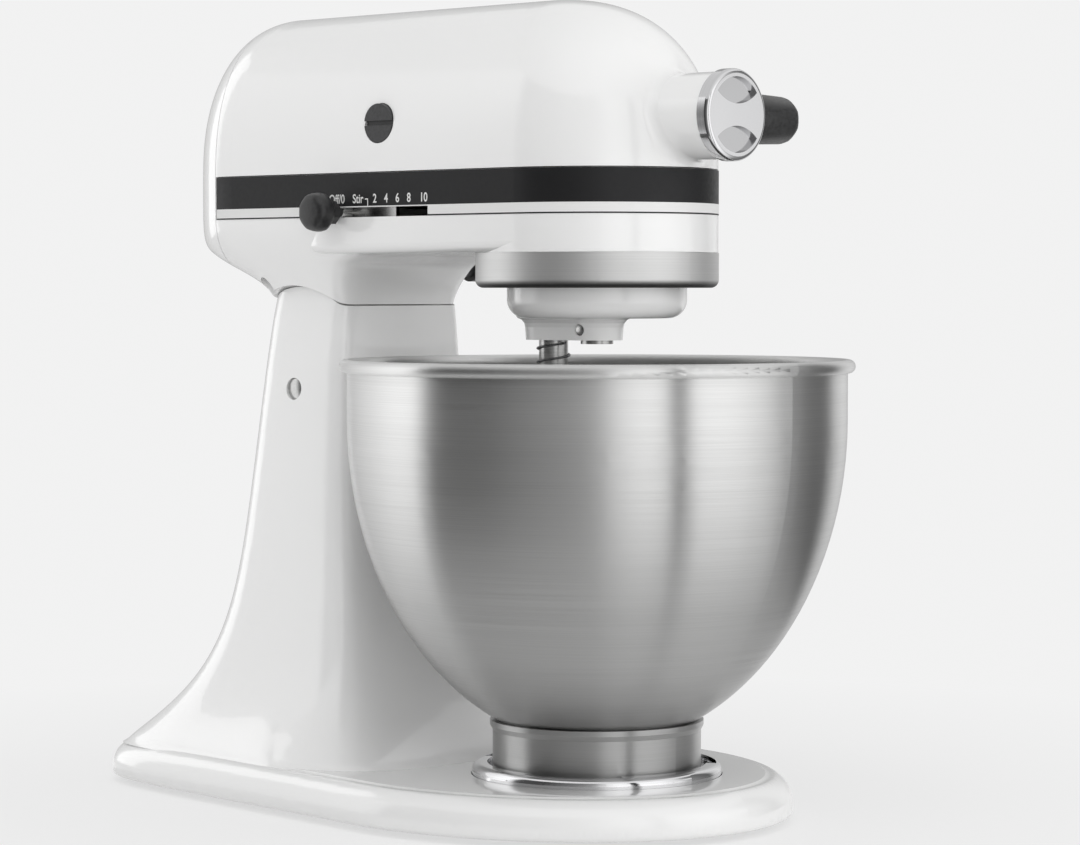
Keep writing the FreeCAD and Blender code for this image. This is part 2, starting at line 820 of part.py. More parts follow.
foot_inner = foot_ring_radius - foot_ring_wall
foot_top = belly_height(bowl_radius, bowl_belly_depth, foot_inner) - foot_weld_gap
lip_radius = foot_ring_radius + foot_ring_lip
foot_edges = chain([
    (foot_inner, foot_ring_bottom),
    (foot_ring_radius, foot_ring_bottom),
    (foot_ring_radius, foot_top - 2 * foot_ring_lip_height),
    (lip_radius, foot_top - foot_ring_lip_height),
    (lip_radius, foot_top),
    (foot_inner, foot_top),
    (foot_inner, foot_ring_bottom),
])
foot_ring = spun(foot_edges, bowl_foot_centre)
lugs = []
for turn in lug_turns:
    lug_top = foot_ring_bottom + lug_thickness
    lug = sector(foot_ring_radius + lug_reach, foot_ring_bottom, lug_top, turn, lug_angle)
    lugs.append(lug.cut(rod(foot_ring_radius - foot_ring_wall / 2, vec(axis_x, 0, 0), vec(axis_x, 0, far))))
foot_ring = join([foot_ring] + lugs)
save("bowl_foot", foot_ring)


# Head castings: an arched upper housing, a lower housing with the hinge lug, and a rear cover

nose_apex = axis_x - nose_apex_behind
front_half = block(cover_seam + cover_gap / 2, far, -far, far, 0, far)
rear_half = block(-far, cover_seam - cover_gap / 2, -far, far, 0, far)
hinge_point = vec(hinge_x, 0, hinge_height)


def across(radius, x, z, y_start, y_end):
    """A round bar that lies across the mixer."""
    return rod(radius, vec(x, y_start, z), vec(x, y_end, z))


def upright(radius, x, y, bottom, top):
    """A round bar that stands upright."""
    return rod(radius, vec(x, y, bottom), vec(x, y, top))


def lengthwise(radius, rear, front):
    """A round bar on the motor's and hub's axis."""
    return rod(radius, vec(rear, 0, motor_z), vec(front, 0, motor_z))


def arch(inset, bottom):
    """The head's crown: stadium outlines that shrink as they rise, with a sloping nose."""
    radius = head_half_width - inset
    rise = head_top_height - arch_base - inset
    steps = 10
    last_turn = math.radians(88.5)
    wires = []
    if bottom < arch_base:
        wires.append(stadium_wire(bottom, rear_centre, axis_x, radius))
    for step in range(steps + 1):
        turn = last_turn * step / steps
        scale = math.cos(turn) ** (2 / arch_power)
        height = arch_base + rise * math.sin(turn) ** (2 / arch_power)
        front_centre = nose_apex + (axis_x - nose_apex) * scale
        wires.append(stadium_wire(height, rear_centre, front_centre, radius * scale))
    return Part.makeLoft(wires, True, False)


def ease(share):
    """A smooth step from 0 to 1."""
    share = min(max(share, 0), 1)
    return share * share * (3 - 2 * share)


def skirt():
    """The neck that spreads from the column's outline up to the head's full outline."""
    neck_bottom = seam_ledge_height - neck_overlap
    neck_rise = band_bottom_height - neck_bottom
    loops = []
    steps = 12
    for step in range(steps + 1):
        share = step / steps
        height = neck_bottom + share * neck_rise
        spread = ease(share)
        neck_height = neck_lean_share * (band_bottom_height - seam_ledge_height)
        lean = ease((height - seam_ledge_height) / neck_height) ** neck_lean_curve
        fillet_rise = min(max(height - seam_ledge_height, 0), 0.985 * underside_rise)
        fillet = underside_rise - math.sqrt(underside_rise ** 2 - fillet_rise ** 2)
        front = column_top_front + fillet
        top_half_width = head_half_width - neck_step
        rear_top = rear_centre - top_half_width
        rear = column_top_rear + (rear_top - column_top_rear) * lean
        widest_bottom = (front + column_top_rear) / 2
        widest = widest_bottom + (rear_centre - widest_bottom) * lean
        half_width = column_half_width + (top_half_width - column_half_width) * spread
        rear_power = neck_rear_power + (neck_top_power - neck_rear_power) * lean
        loops.append(plan_loop(height, front, rear, half_width, widest, neck_front_power, rear_power, 0))
    return Part.makeLoft(loops, True, False)


hub_front = axis_x + hub_boss_front
hub_rear = axis_x + hub_boss_rear
crown_inside = arch(head_wall, arch_base - lap)
crown = arch(0, arch_base).cut(crown_inside)
stud_x = hub_front - attachment_knob_setback
hub_boss = lengthwise(hub_boss_radius, hub_rear, hub_front)
fillet_room = arch_base - 2 * hub_fillet
upper_skin = arch(0, fillet_room).fuse(hub_boss)
skin_middle = axis_x + head_half_width / 2
hub_root = []
for edge in upper_skin.Edges:
    spots = edge.discretize(9)
    radii = [math.hypot(spot.y, spot.z - motor_z) for spot in spots]
    depths = [spot.x for spot in spots]
    on_boss = max(abs(radius - hub_boss_radius) for radius in radii) < lap / 10
    if on_boss and min(depths) > skin_middle and max(depths) < hub_front - lap:
        hub_root.append(edge)
upper_skin = upper_skin.makeFillet(hub_fillet, hub_root)
upper_skin = upper_skin.common(block(-far, far, -far, far, arch_base, far)).common(front_half)
upper_housing = upper_skin.cut(crown_inside.cut(hub_boss))
screw_spots = []
housing_screw_out = inner_half_width - housing_screw_inset
for x in (axis_x - housing_screw_front_behind, rear_centre + housing_screw_rear_ahead):
    for side in (-1, 1):
        screw_spots.append((x, side * housing_screw_out))
screw_post_top = arch_base + housing_screw_reach
crown_core = arch(head_wall / 2, arch_base)
upper_posts = []
for x, y in screw_spots:
    upper_posts.append(upright(housing_post_radius, x, y, arch_base, far).common(crown_core))
upper_housing = upper_housing.fuse(upper_posts)
cap_face = head_half_width - brush_cap_inset
cap_back = cap_face - brush_cap_depth
upper_cuts = [
    lengthwise(hub_bore_radius, hub_rear - lap, hub_front + lap),
    across(brush_cap_radius + loose_clearance, brush_x, motor_z, -far, -cap_back),
    across(brush_cap_radius + loose_clearance, brush_x, motor_z, cap_back, far),
    across(attachment_stud_radius + loose_clearance, stud_x, motor_z, 0, far),
]
upper_cuts += [upright(screw_radius + screw_clearance, x, y, 0, screw_post_top) for x, y in screw_spots]
upper_housing = upper_housing.cut(upper_cuts[0].fuse(upper_cuts[1:])).removeSplitter()
save("upper_housing", upper_housing)

neck = skirt()
tub_rear = column_top_front + tub_rear_ahead
tub = stadium(underside_height, band_bottom_height, tub_rear, axis_x, head_half_width)
tub_edges = [edge for edge in tub.Edges if edge.BoundBox.ZMax < underside_height + 0.01]
tub = tub.makeFillet(underside_round, tub_edges)
barrel = upright(head_half_width, axis_x, 0, underside_height, band_bottom_height)
waist_radius = head_half_width - band_thickness + band_proud - seat_clearance
waist = stadium(band_bottom_height, band_top_height, rear_centre, axis_x, waist_radius)
cavity = stadium(floor_height, far, rear_centre, axis_x, inner_half_width)
seam_cut = seam_body(seam_gap)
spigot_radius = drip_radius - drip_sheet - seat_clearance
case_radius = spigot_radius - spigot_wall
spigot_bottom = drip_bottom_height + drip_sheet + drip_round
lower_body = join([neck.cut(seam_cut), tub, barrel, waist]).common(front_half)
spigot = upright(spigot_radius, axis_x, 0, spigot_bottom, gear_case_roof_height)
lower_body = lower_body.cut(cavity).fuse(spigot)

lug_half = slot_half_width - tilt_side_gap
arm = Part.makeBox(hinge_arc_radius + lug_arm_root, 2 * lug_half, lug_arm_width,
                   vec(hinge_x, -lug_half, hinge_height - lug_arm_width / 2))
arm.rotate(hinge_point, Y, -lug_arm_angle)
eye = across(lug_eye_radius, hinge_x, hinge_height, -lug_half, lug_half)
stator_rear = (core_front + core_rear - stator_length) / 2
stator_front = stator_rear + stator_length
cradle = block(stator_rear + cradle_inset, stator_front - cradle_inset,
               -cradle_half_width, cradle_half_width, floor_height - lap, motor_z)
cradle = cradle.cut(lengthwise(stator_radius + seat_clearance, stator_rear, stator_front))
bulkhead = block(rear_bearing_x, rear_bearing_end, -bulkhead_half_width, bulkhead_half_width,
                 floor_height - lap, motor_z + bulkhead_rise)
posts = [upright(housing_post_radius, x, y, floor_height - lap, band_top_height) for x, y in screw_spots]
cover_screw_x = cover_seam - cover_screw_inset
tab = block(cover_seam - cover_tab_length, rear_bearing_end, -cover_tab_half_width, cover_tab_half_width,
            floor_height + loose_clearance, floor_height + cover_tab_thickness)
lower_body = lower_body.fuse([arm, eye, cradle, bulkhead, tab] + posts)

lock_end = lock_cam_inner + lock_cam_width
wheel_shaft_bottom = floor_height - wheel_shaft_seat
bearing_bore = bearing_radius + seat_clearance
centre_bearing_radius = centre_shaft_radius + centre_bearing_wall
slot_rear = axis_x - speed_slot_rear_behind
lower_cuts = [
    upright(case_radius, axis_x, 0, drip_bottom_height, gear_case_roof_height),
    upright(centre_bearing_radius + seat_clearance, axis_x, 0,
            gear_case_roof_height - lap, floor_height + lap),
    across(hinge_pin_radius + running_clearance, hinge_x, hinge_height, -far, far),
    lengthwise(bearing_bore, rear_bearing_x - lap, rear_bearing_end + lap),
    upright(wheel_shaft_radius + running_clearance, wheel_x, wheel_y,
            wheel_shaft_bottom, floor_height + lap),
    block(slot_rear, slot_rear + speed_slot_length, -far, -inner_half_width + lap,
          speed_slot_bottom, speed_slot_top),
    across(lock_cam_reach + lock_pocket_gap, lock_x, lock_height,
           lock_cam_inner, lock_end + lock_pocket_gap),
    across(lock_shaft_radius + running_clearance, lock_x, lock_height, lock_cam_inner, far),
    upright(screw_radius + screw_clearance, cover_screw_x, 0, 0, far),
]
screw_recess = underside_height + housing_screw_recess
lower_cuts += [upright(screw_radius + screw_clearance, x, y, 0, far) for x, y in screw_spots]
lower_cuts += [upright(screw_head_radius + loose_clearance, x, y, 0, screw_recess) for x, y in screw_spots]
plug_x = axis_x - drip_radius - plug_gap - plug_radius
plug_top = underside_height + plug_stem_length
lower_cuts.append(upright(plug_stem_radius + seat_clearance, plug_x, 0, 0, plug_top + loose_clearance))
lower_housing = lower_body.cut(lower_cuts[0].fuse(lower_cuts[1:])).removeSplitter()
save("lower_housing", lower_housing)

cover_waist = stadium(band_bottom_height, arch_base, rear_centre, axis_x, head_half_width)
cover_body = join([neck.cut(seam_cut), cover_waist]).common(rear_half).cut(cavity)
cover_body = cover_body.fuse(crown.common(rear_half))
gland_x = cover_seam - gland_inset
cover_recess = floor_height - cover_screw_recess
cover_cuts = [
    upright(screw_radius + screw_clearance, cover_screw_x, 0, 0, floor_height + lap),
    upright(screw_head_radius + loose_clearance, cover_screw_x, 0, 0, cover_recess),
    upright(gland_radius + seat_clearance, gland_x, gland_out, 0, floor_height + lap),
]
rear_cover = cover_body.cut(cover_cuts[0].fuse(cover_cuts[1:])).removeSplitter()
save("rear_cover", rear_cover)

cover_screw_top = floor_height + cover_tab_thickness + cover_screw_recess
save("rear_cover_screw", join([
    upright(screw_radius, cover_screw_x, 0, cover_recess - lap, cover_screw_top),
    upright(screw_head_radius, cover_screw_x, 0, cover_recess - screw_head_height, cover_recess),
]))
gland = join([
    upright(gland_radius, gland_x, gland_out, floor_height - gland_length, floor_height + lap),
    upright(gland_radius + gland_flange, gland_x, gland_out, floor_height, floor_height + gland_flange),
])
save("cord_gland", gland.cut(upright(gland_bore_radius, gland_x, gland_out, 0, far)))
housing_screws = []
for x, y in screw_spots:
    housing_screws.append(join([
        upright(screw_radius, x, y, screw_recess - lap, screw_post_top - loose_clearance),
        upright(screw_head_radius, x, y, screw_recess - screw_head_height, screw_recess),
    ]))
save("housing_screws", Part.makeCompound(housing_screws))
plug = join([
    upright(plug_stem_radius, plug_x, 0, underside_height - lap, plug_top),
    cone(plug_radius - plug_stem_radius / 4, plug_radius, vec(plug_x, 0, underside_height - plug_drop),
         vec(plug_x, 0, underside_height)),
])
save("underside_plug", plug)

band_outer = head_half_width + band_proud
band_gap = loose_clearance / 2
band = stadium(band_bottom_height + band_gap, band_top_height - band_gap, rear_centre, axis_x, band_outer)
band = band.cut(stadium(0, far, rear_centre, axis_x, band_outer - band_thickness))
band = band.common(block(cover_seam + band_rear_gap, far, -far, far, 0, far))
band = band.cut(block(slot_rear, slot_rear + speed_slot_length, -far, 0, speed_slot_bottom, speed_slot_top))
save("trim_band", band)


# Drip ring and planetary

drip_inner = drip_radius - drip_sheet
drip_top = underside_height - seat_clearance
bottom_inner = drip_bottom_height + drip_sheet
inner_round = drip_round - drip_sheet
drip_edges = chain([
    (drip_opening_radius, drip_bottom_height),
    (drip_radius - drip_round, drip_bottom_height),
])
drip_edges.append(round_corner((drip_radius, drip_bottom_height), drip_round, 1, -1))
drip_edges += chain([
    (drip_radius, drip_bottom_height + drip_round),
    (drip_radius, drip_top),
    (drip_inner, drip_top),
    (drip_inner, bottom_inner + inner_round),
])
drip_edges.append(round_corner((drip_inner, bottom_inner), inner_round, 1, -1))
drip_edges += chain([
    (drip_inner - inner_round, bottom_inner),
    (drip_opening_radius, bottom_inner),
    (drip_opening_radius, drip_bottom_height),
])
save("drip_ring", spun(drip_edges, bowl_foot_centre))

disc_edges = chain([
    (0, planetary_bottom_height),
    (planetary_radius - planetary_round, planetary_bottom_height),
])
disc_edges.append(round_corner((planetary_radius, planetary_bottom_height), planetary_round, 1, -1))
disc_edges += chain([
    (planetary_radius, planetary_bottom_height + planetary_round),
    (planetary_radius, planetary_top_height),
    (0, planetary_top_height),
    (0, planetary_bottom_height),
])
disc = spun(disc_edges, bowl_foot_centre)


def boss_wire(height, spread):
    """The outline round the centre shaft and the beater shaft, with tangent sides."""
    small = boss_centre_radius + spread
    large = boss_beater_radius + spread
    lean = math.asin((large - small) / beater_offset)
    rise = math.cos(lean)
    shift = math.sin(lean)
    front_left = vec(axis_x - small * shift, small * rise, height)
    front_right = vec(axis_x - small * shift, -small * rise, height)
    rear_left = vec(beater_x - large * shift, large * rise, height)
    rear_right = vec(beater_x - large * shift, -large * rise, height)
    return Part.Wire([
        Part.Arc(front_right, vec(axis_x + small, 0, height), front_left).toShape(),
        Part.makeLine(front_left, rear_left),
        Part.Arc(rear_left, vec(beater_x - large, 0, height), rear_right).toShape(),
        Part.makeLine(rear_right, front_right),
    ])


boss_flare_bottom = planetary_bottom_height - boss_flare
boss_wires = [boss_wire(boss_bottom_height, 0), boss_wire(boss_flare_bottom, boss_draft)]
for degrees in (27, 54, 81):
    turn = math.radians(degrees)
    height = boss_flare_bottom + boss_flare * math.sin(turn)
    boss_wires.append(boss_wire(height, boss_draft + boss_flare * (1 - math.cos(turn))))
boss_wires.append(boss_wire(planetary_bottom_height + lap, boss_draft + boss_flare))
boss = Part.makeLoft(boss_wires, True, True)
planetary_hub = upright(planetary_hub_radius, axis_x, 0, planetary_top_height - lap,
                        planetary_top_height + planetary_hub_rise)
planetary = join([disc, boss, planetary_hub])
planetary = planetary.cut(upright(centre_shaft_radius + running_clearance, axis_x, 0, 0, far))
planetary = planetary.cut(upright(beater_shaft_radius + running_clearance, beater_x, 0, 0, far))
planetary = planetary.cut(across(roll_pin_radius + running_clearance, axis_x, roll_pin_height, -far, far))
save("planetary", planetary)

roll_pin_reach = boss_centre_radius + roll_pin_proud
roll_pin = across(roll_pin_radius, axis_x, roll_pin_height, -roll_pin_reach, roll_pin_reach)
roll_pin = roll_pin.cut(across(roll_pin_hole_radius, axis_x, roll_pin_height, -far, far))
save("planetary_roll_pin", roll_pin)


# Gears with involute flanks

pressure_angle = math.radians(gear_pressure_angle)


def involute(angle):
    """The involute function of an angle."""
    return math.tan(angle) - angle


def gear_wire(teeth, module, tip, root, pitch_thickness, height):
    """The outline of a spur gear about the Z axis, with its first tooth on +X."""
    pitch = teeth * module / 2
    base = pitch * math.cos(pressure_angle)

    def spot(radius, side, middle):
        reach = math.acos(min(1.0, base / radius)) if radius > base else 0.0
        half = pitch_thickness / (2 * pitch) + involute(pressure_angle) - involute(reach)
        turn = middle + side * half
        return vec(radius * math.cos(turn), radius * math.sin(turn), height)

    start = max(base, root)
    edges = []
    for tooth in range(teeth):
        middle = 2 * math.pi * tooth / teeth
        following = 2 * math.pi * (tooth + 1) / teeth
        if root < start:
            edges.append(Part.makeLine(spot(root, -1, middle), spot(start, -1, middle)))
        edges.append(Part.Arc(*[spot(r, -1, middle) for r in (start, (start + tip) / 2, tip)]).toShape())
        edges.append(Part.makeLine(spot(tip, -1, middle), spot(tip, 1, middle)))
        edges.append(Part.Arc(*[spot(r, 1, middle) for r in (tip, (start + tip) / 2, start)]).toShape())
        if root < start:
            edges.append(Part.makeLine(spot(start, 1, middle), spot(root, 1, middle)))
        edges.append(Part.makeLine(spot(root, 1, middle), spot(root, -1, following)))
    return Part.Wire(edges)


def spur_gear(teeth, module, face):
    """A spur gear standing on the XY plane."""
    pitch = teeth * module / 2
    thickness = math.pi * module / 2 - gear_backlash
    tip = pitch + gear_tip_share * module
    root = pitch - gear_root_share * module
    wire = gear_wire(teeth, module, tip, root, thickness, 0)
    return Part.Face(wire).extrude(vec(0, 0, face))


ring_pitch = ring_teeth * planet_module / 2
ring_space = math.pi * planet_module / 2 + gear_backlash
ring_outer = ring_pitch + gear_root_share * planet_module
ring_inner = ring_pitch - gear_tip_share * planet_module
ring_hole = Part.Face(gear_wire(ring_teeth, planet_module, ring_outer, ring_inner, ring_space, -lap))
ring_gear = Part.makeCylinder(case_radius - seat_clearance, ring_gear_face)
ring_gear = ring_gear.cut(ring_hole.extrude(vec(0, 0, ring_gear_face + 2 * lap)))
ring_gear.translate(vec(axis_x, 0, gear_case_roof_height - ring_gear_face))
save("ring_gear", ring_gear)

pinion = spur_gear(pinion_teeth, planet_module, pinion_face)
pinion_bottom = gear_case_roof_height - ring_gear_face + pinion_lift
pinion.translate(vec(beater_x, 0, pinion_bottom))
pinion = pinion.cut(upright(beater_shaft_radius + running_clearance, beater_x, 0, 0, far))
save("planet_pinion", pinion)


# Beater shaft, its spring and its cross pin

beater_tip_top = beater_shaft_bottom + beater_tip_length
pilot_top = beater_tip_top + beater_pilot_length
shoulder = pilot_top + beater_pilot_step
beater_shaft = join([
    upright(beater_shaft_radius, beater_x, 0, shoulder, pinion_bottom + pinion_face + beater_top_reach),
    cone(beater_pilot_radius, beater_shaft_radius, vec(beater_x, 0, pilot_top), vec(beater_x, 0, shoulder)),
    upright(beater_pilot_radius, beater_x, 0, beater_tip_top, pilot_top),
    cone(beater_pilot_radius - beater_tip_taper, beater_pilot_radius, vec(beater_x, 0, beater_shaft_bottom),
         vec(beater_x, 0, beater_tip_top)),
])
cross_hole = across(cross_pin_radius + running_clearance, beater_x, cross_pin_height, -far, far)
beater_shaft = beater_shaft.cut(cross_hole)
save("beater_shaft", beater_shaft)
save("beater_cross_pin", across(cross_pin_radius, beater_x, cross_pin_height,
                                -cross_pin_half_length, cross_pin_half_length))
coil_radius = beater_shaft_radius + loose_clearance + spring_wire_radius
spring_bottom = boss_bottom_height - loose_clearance - spring_wire_radius - spring_pitch * spring_turns
half_turns = []
for number in range(2 * spring_turns):
    side = 1 if number % 2 == 0 else -1
    level = spring_bottom + number * spring_pitch / 2
    wire_end = vec(beater_x + side * coil_radius, 0, level)
    wire_face = Part.Face(Part.Wire(Part.makeCircle(spring_wire_radius, wire_end, Y)))
    turn_centre = vec(beater_x, 0, level + spring_pitch / 4)
    turn_axis = vec(side * spring_pitch / 2, 0, 2 * coil_radius)
    half_turns.append(wire_face.revolve(turn_centre, turn_axis, 180))
spring = join(half_turns)
save("beater_spring", spring)

centre_shaft_top = motor_z - bevel_radius - centre_shaft_gap
centre_shaft_bottom = boss_bottom_height - centre_shaft_drop
centre_shaft = upright(centre_shaft_radius, axis_x, 0, centre_shaft_bottom, centre_shaft_top)
pin_hole = across(roll_pin_radius + running_clearance, axis_x, roll_pin_height, -far, far)
save("centre_shaft", centre_shaft.cut(pin_hole))
save("centre_bearing", tube(centre_bearing_radius, centre_shaft_radius + running_clearance,
                            vec(axis_x, 0, gear_case_roof_height), vec(axis_x, 0, floor_height)))


# Gear train: worm wheel and pinion on one upright shaft, centre gear, and bevels to the hub

mesh_turn = math.degrees(math.atan2(wheel_y, wheel_x - axis_x))
centre_gear = spur_gear(centre_gear_teeth, train_module, centre_gear_face)
centre_gear.rotate(vec(0, 0, 0), Z, mesh_turn)
centre_gear.translate(vec(axis_x, 0, centre_gear_bottom))
bevel_large = motor_z - bevel_radius - mesh_gap
bevel_hub = upright(bevel_radius, axis_x, 0, centre_gear_bottom + centre_gear_face - lap, bevel_large)
bevel_top = cone(bevel_radius, bevel_radius - bevel_face, vec(axis_x, 0, bevel_large),
                 vec(axis_x, 0, bevel_large + bevel_face))
centre_gear = join([centre_gear, bevel_hub, bevel_top])
centre_bore = upright(centre_shaft_radius + running_clearance, axis_x, 0, 0, centre_shaft_top + lap)
centre_gear = centre_gear.cut(centre_bore)
save("centre_gear", centre_gear)

drive_pinion = spur_gear(drive_pinion_teeth, train_module, centre_gear_face)
drive_pinion.rotate(vec(0, 0, 0), Z, mesh_turn + 180 - 180 / drive_pinion_teeth)
drive_pinion.translate(vec(wheel_x, wheel_y, centre_gear_bottom))
drive_pinion = drive_pinion.cut(upright(wheel_shaft_radius + running_clearance, wheel_x, wheel_y, 0, far))
save("drive_pinion", drive_pinion)
wheel_bottom = motor_z - wheel_face / 2
bracket_top = motor_z + bracket_rise
save("worm_wheel_shaft", upright(wheel_shaft_radius, wheel_x, wheel_y, wheel_shaft_bottom + loose_clearance,
                                 bracket_top + lap))
worm_wheel = join([
    upright(wheel_radius, wheel_x, wheel_y, wheel_bottom, wheel_bottom + wheel_face),
    upright(wheel_hub_radius, wheel_x, wheel_y, centre_gear_bottom + centre_gear_face, wheel_bottom + lap),
])
worm_wheel = worm_wheel.cut(upright(wheel_shaft_radius + running_clearance, wheel_x, wheel_y, 0, far))
save("worm_wheel", worm_wheel)

roof_bottom = bracket_top - bracket_roof
bracket = join([
    block(bracket_rear, bracket_front, -bracket_right, bracket_left, floor_height, roof_bottom),
    block(bracket_rear, wheel_x + bracket_roof_ahead, wheel_y - bracket_roof_half_width,
          wheel_y + bracket_roof_half_width, roof_bottom, bracket_top),
])
bracket = bracket.cut(lengthwise(bearing_bore, bracket_rear - lap, bracket_front + lap))
bracket = bracket.cut(upright(wheel_shaft_radius + running_clearance, wheel_x, wheel_y, 0, far))
save("gear_bracket", bracket)

hub_bevel_x = axis_x + bevel_radius + mesh_gap
hub_bevel = join([
    cone(bevel_radius, bevel_radius - bevel_face, vec(hub_bevel_x, 0, motor_z),
         vec(hub_bevel_x - bevel_face, 0, motor_z)),
    lengthwise(bevel_hub_radius, hub_bevel_x - lap, hub_rear - loose_clearance),
])
hub_bevel = hub_bevel.cut(lengthwise(hub_shaft_radius + running_clearance, axis_x, hub_front))
save("hub_bevel_gear", hub_bevel)
bushing_front = hub_rear + hub_bushing_length
save("hub_bushing", tube(hub_bore_radius - seat_clearance, hub_shaft_radius + running_clearance,
                         vec(hub_rear, 0, motor_z), vec(bushing_front, 0, motor_z)))
socket_rear = bushing_front + loose_clearance
socket_front = socket_rear + hub_socket_length
hub_shaft = join([
    lengthwise(hub_shaft_radius, hub_bevel_x - bevel_face, socket_rear + lap),
    lengthwise(hub_socket_radius, socket_rear, socket_front),
])
half_square = hub_socket_square / 2
hub_shaft = hub_shaft.cut(block(socket_front - hub_socket_depth, socket_front + lap,
                                -half_square, half_square, motor_z - half_square, motor_z + half_square))
save("hub_drive_shaft", hub_shaft)


# Hub cap and attachment knob

cap_rear = hub_front + loose_clearance
cap_front = cap_rear + hub_cap_thickness
spigot_rear = cap_rear - hub_cap_spigot_length
cap_body = lengthwise(hub_cap_radius, cap_rear, cap_front)
cap_rim = [edge for edge in cap_body.Edges if edge.BoundBox.XMin > cap_front - 0.01]
cap_body = cap_body.makeFillet(hub_cap_round, cap_rim)
cap_body = cap_body.fuse(lengthwise(hub_bore_radius - loose_clearance, spigot_rear, cap_rear + lap))
lobes = lengthwise(hub_cap_radius - hub_cap_rim, cap_front - hub_cap_recess, cap_front + lap)
lobe_z = hub_cap_bar_half_width + hub_cap_lobe_radius
hub_cap = cap_body
for side in (-1, 1):
    lobe_level = motor_z + side * lobe_z
    lobe = rod(hub_cap_lobe_radius, vec(cap_rear, 0, lobe_level), vec(far, 0, lobe_level))
    hub_cap = hub_cap.cut(lobe.common(lobes))
hub_cap = hub_cap.removeSplitter()
save("hub_cap", hub_cap)


def faceted(start, direction, rings, sides):
    """A knob with flat sides: polygons of given radii at given distances along its axis."""
    toward = vec(direction.x, direction.y, direction.z)
    side_a = Z
    side_b = toward.cross(Z)
    wires = []
    for distance, radius in rings:
        centre = start + toward * distance
        corners = []
        for number in range(sides):
            turn = 2 * math.pi * (number + 0.5) / sides
            corners.append(centre + side_a * (radius * math.cos(turn)) + side_b * (radius * math.sin(turn)))
        wires.append(Part.makePolygon(corners + corners[:1]))
    return Part.makeLoft(wires, True, True)


def knob(start, direction, radius, length, collar, sides):
    """A grip with a narrow collar at its root, a full middle and a chamfered end."""
    rings = [
        (0, knob_root_share * radius),
        (collar, knob_neck_share * radius),
        (collar + knob_shoulder_at * length, knob_shoulder_share * radius),
        (collar + knob_chamfer_at * length, radius),
        (collar + length, knob_end_share * radius),
    ]
    return faceted(start, direction, rings, sides)


knob_inner = hub_cap_radius + loose_clearance
knob_start = vec(stud_x, knob_inner, motor_z)
stud_tip = hub_bore_radius + loose_clearance
attachment_knob = knob(knob_start, Y, attachment_knob_radius, attachment_knob_length,
                       attachment_knob_collar, knob_sides)
save("attachment_knob", attachment_knob)
save("attachment_stud", across(attachment_stud_radius, stud_x, motor_z, stud_tip, knob_inner))


# Speed lever and knob

speed_x = slot_rear + speed_rest_ahead
speed_z = (speed_slot_bottom + speed_slot_top) / 2
plate_outer = -inner_half_width + loose_clearance
plate_inner = plate_outer + speed_plate_thickness
plate_half_height = speed_plate_height / 2
knob_root = -band_outer - knob_standoff
speed_lever = join([
    block(speed_x - speed_plate_rear, speed_x + speed_plate_front, plate_outer, plate_inner,
          speed_z - plate_half_height, speed_z + plate_half_height),
    across(speed_stem_radius, speed_x, speed_z, knob_root, plate_outer + lap),
])
save("speed_lever", speed_lever)
speed_knob_start = vec(speed_x, knob_root, speed_z)
save("speed_knob", knob(speed_knob_start, vec(0, -1, 0), knob_radius, knob_length, knob_collar, knob_sides))
board_front = bracket_rear - board_gap
save("speed_control_board", block(board_front - board_length, board_front, -board_outer, -board_inner,
                                  floor_height, floor_height + board_thickness))


# Head lock: a shaft through the neck's left side with a cam inside and a lever outside

lock_cam = join([
    across(lock_cam_radius, lock_x, lock_height, lock_cam_inner + loose_clearance, lock_end),
    block(lock_x - lock_cam_reach, lock_x, lock_cam_inner + loose_clearance, lock_end,
          lock_height - lock_cam_half_height, lock_height + lock_cam_half_height),
])
lock_cam = lock_cam.cut(across(lock_shaft_radius + running_clearance, lock_x, lock_height, -far, far))
save("lock_cam", lock_cam)
arm_y = head_half_width + lock_arm_gap
arm_end = arm_y + lock_arm_thickness
lock_shaft = join([
    across(lock_shaft_radius, lock_x, lock_height, lock_cam_inner + loose_clearance, arm_y + lap),
    across(lock_shaft_radius + lock_collar, lock_x, lock_height, arm_y, arm_end),
    block(lock_x - lock_arm_length, lock_x, arm_y, arm_end,
          lock_height - lock_arm_half_height, lock_height + lock_arm_half_height),
])
save("lock_shaft", lock_shaft)
lock_knob_start = vec(lock_x - lock_arm_length + lock_knob_inset, arm_end, lock_height)
save("lock_knob", knob(lock_knob_start, Y, lock_knob_radius, lock_knob_length, lock_knob_collar,
                       knob_sides))


# Motor

stator = lengthwise(stator_radius, stator_rear, stator_front)
stator = stator.common(block(-far, far, -stator_flat, stator_flat, 0, far))
stator = stator.cut(lengthwise(stator_bore, stator_rear - lap, stator_front + lap))
save("motor_stator", stator)
windings = []
for end, way in ((stator_rear, -1), (stator_front, 1)):
    tip = end + way * winding_reach
    windings.append(tube(winding_radius, stator_bore + winding_clearance, vec(end, 0, motor_z),
                         vec(tip, 0, motor_z)))
save("stator_windings", Part.makeCompound(windings))
core = lengthwise(armature_radius, core_rear, core_front)
core_slot = block(core_rear - lap, core_front + lap, -armature_slot_width / 2, armature_slot_width / 2,
                  motor_z + armature_radius - armature_slot_depth, motor_z + armature_radius + lap)
slots = []
for number in range(armature_slots):
    copy = core_slot.copy()
    copy.rotate(vec(0, 0, motor_z), X, 360 * number / armature_slots)
    slots.append(copy)
shaft_bore = motor_shaft_radius + running_clearance
core = core.cut(slots[0].fuse(slots[1:])).cut(lengthwise(shaft_bore, core_rear - lap, core_front + lap))
save("armature_core", core)
save("commutator", tube(commutator_radius, shaft_bore, vec(commutator_rear, 0, motor_z),
                        vec(commutator_front, 0, motor_z)))
worm_rear = bracket_front + bracket_extra
worm_front = worm_rear + worm_length
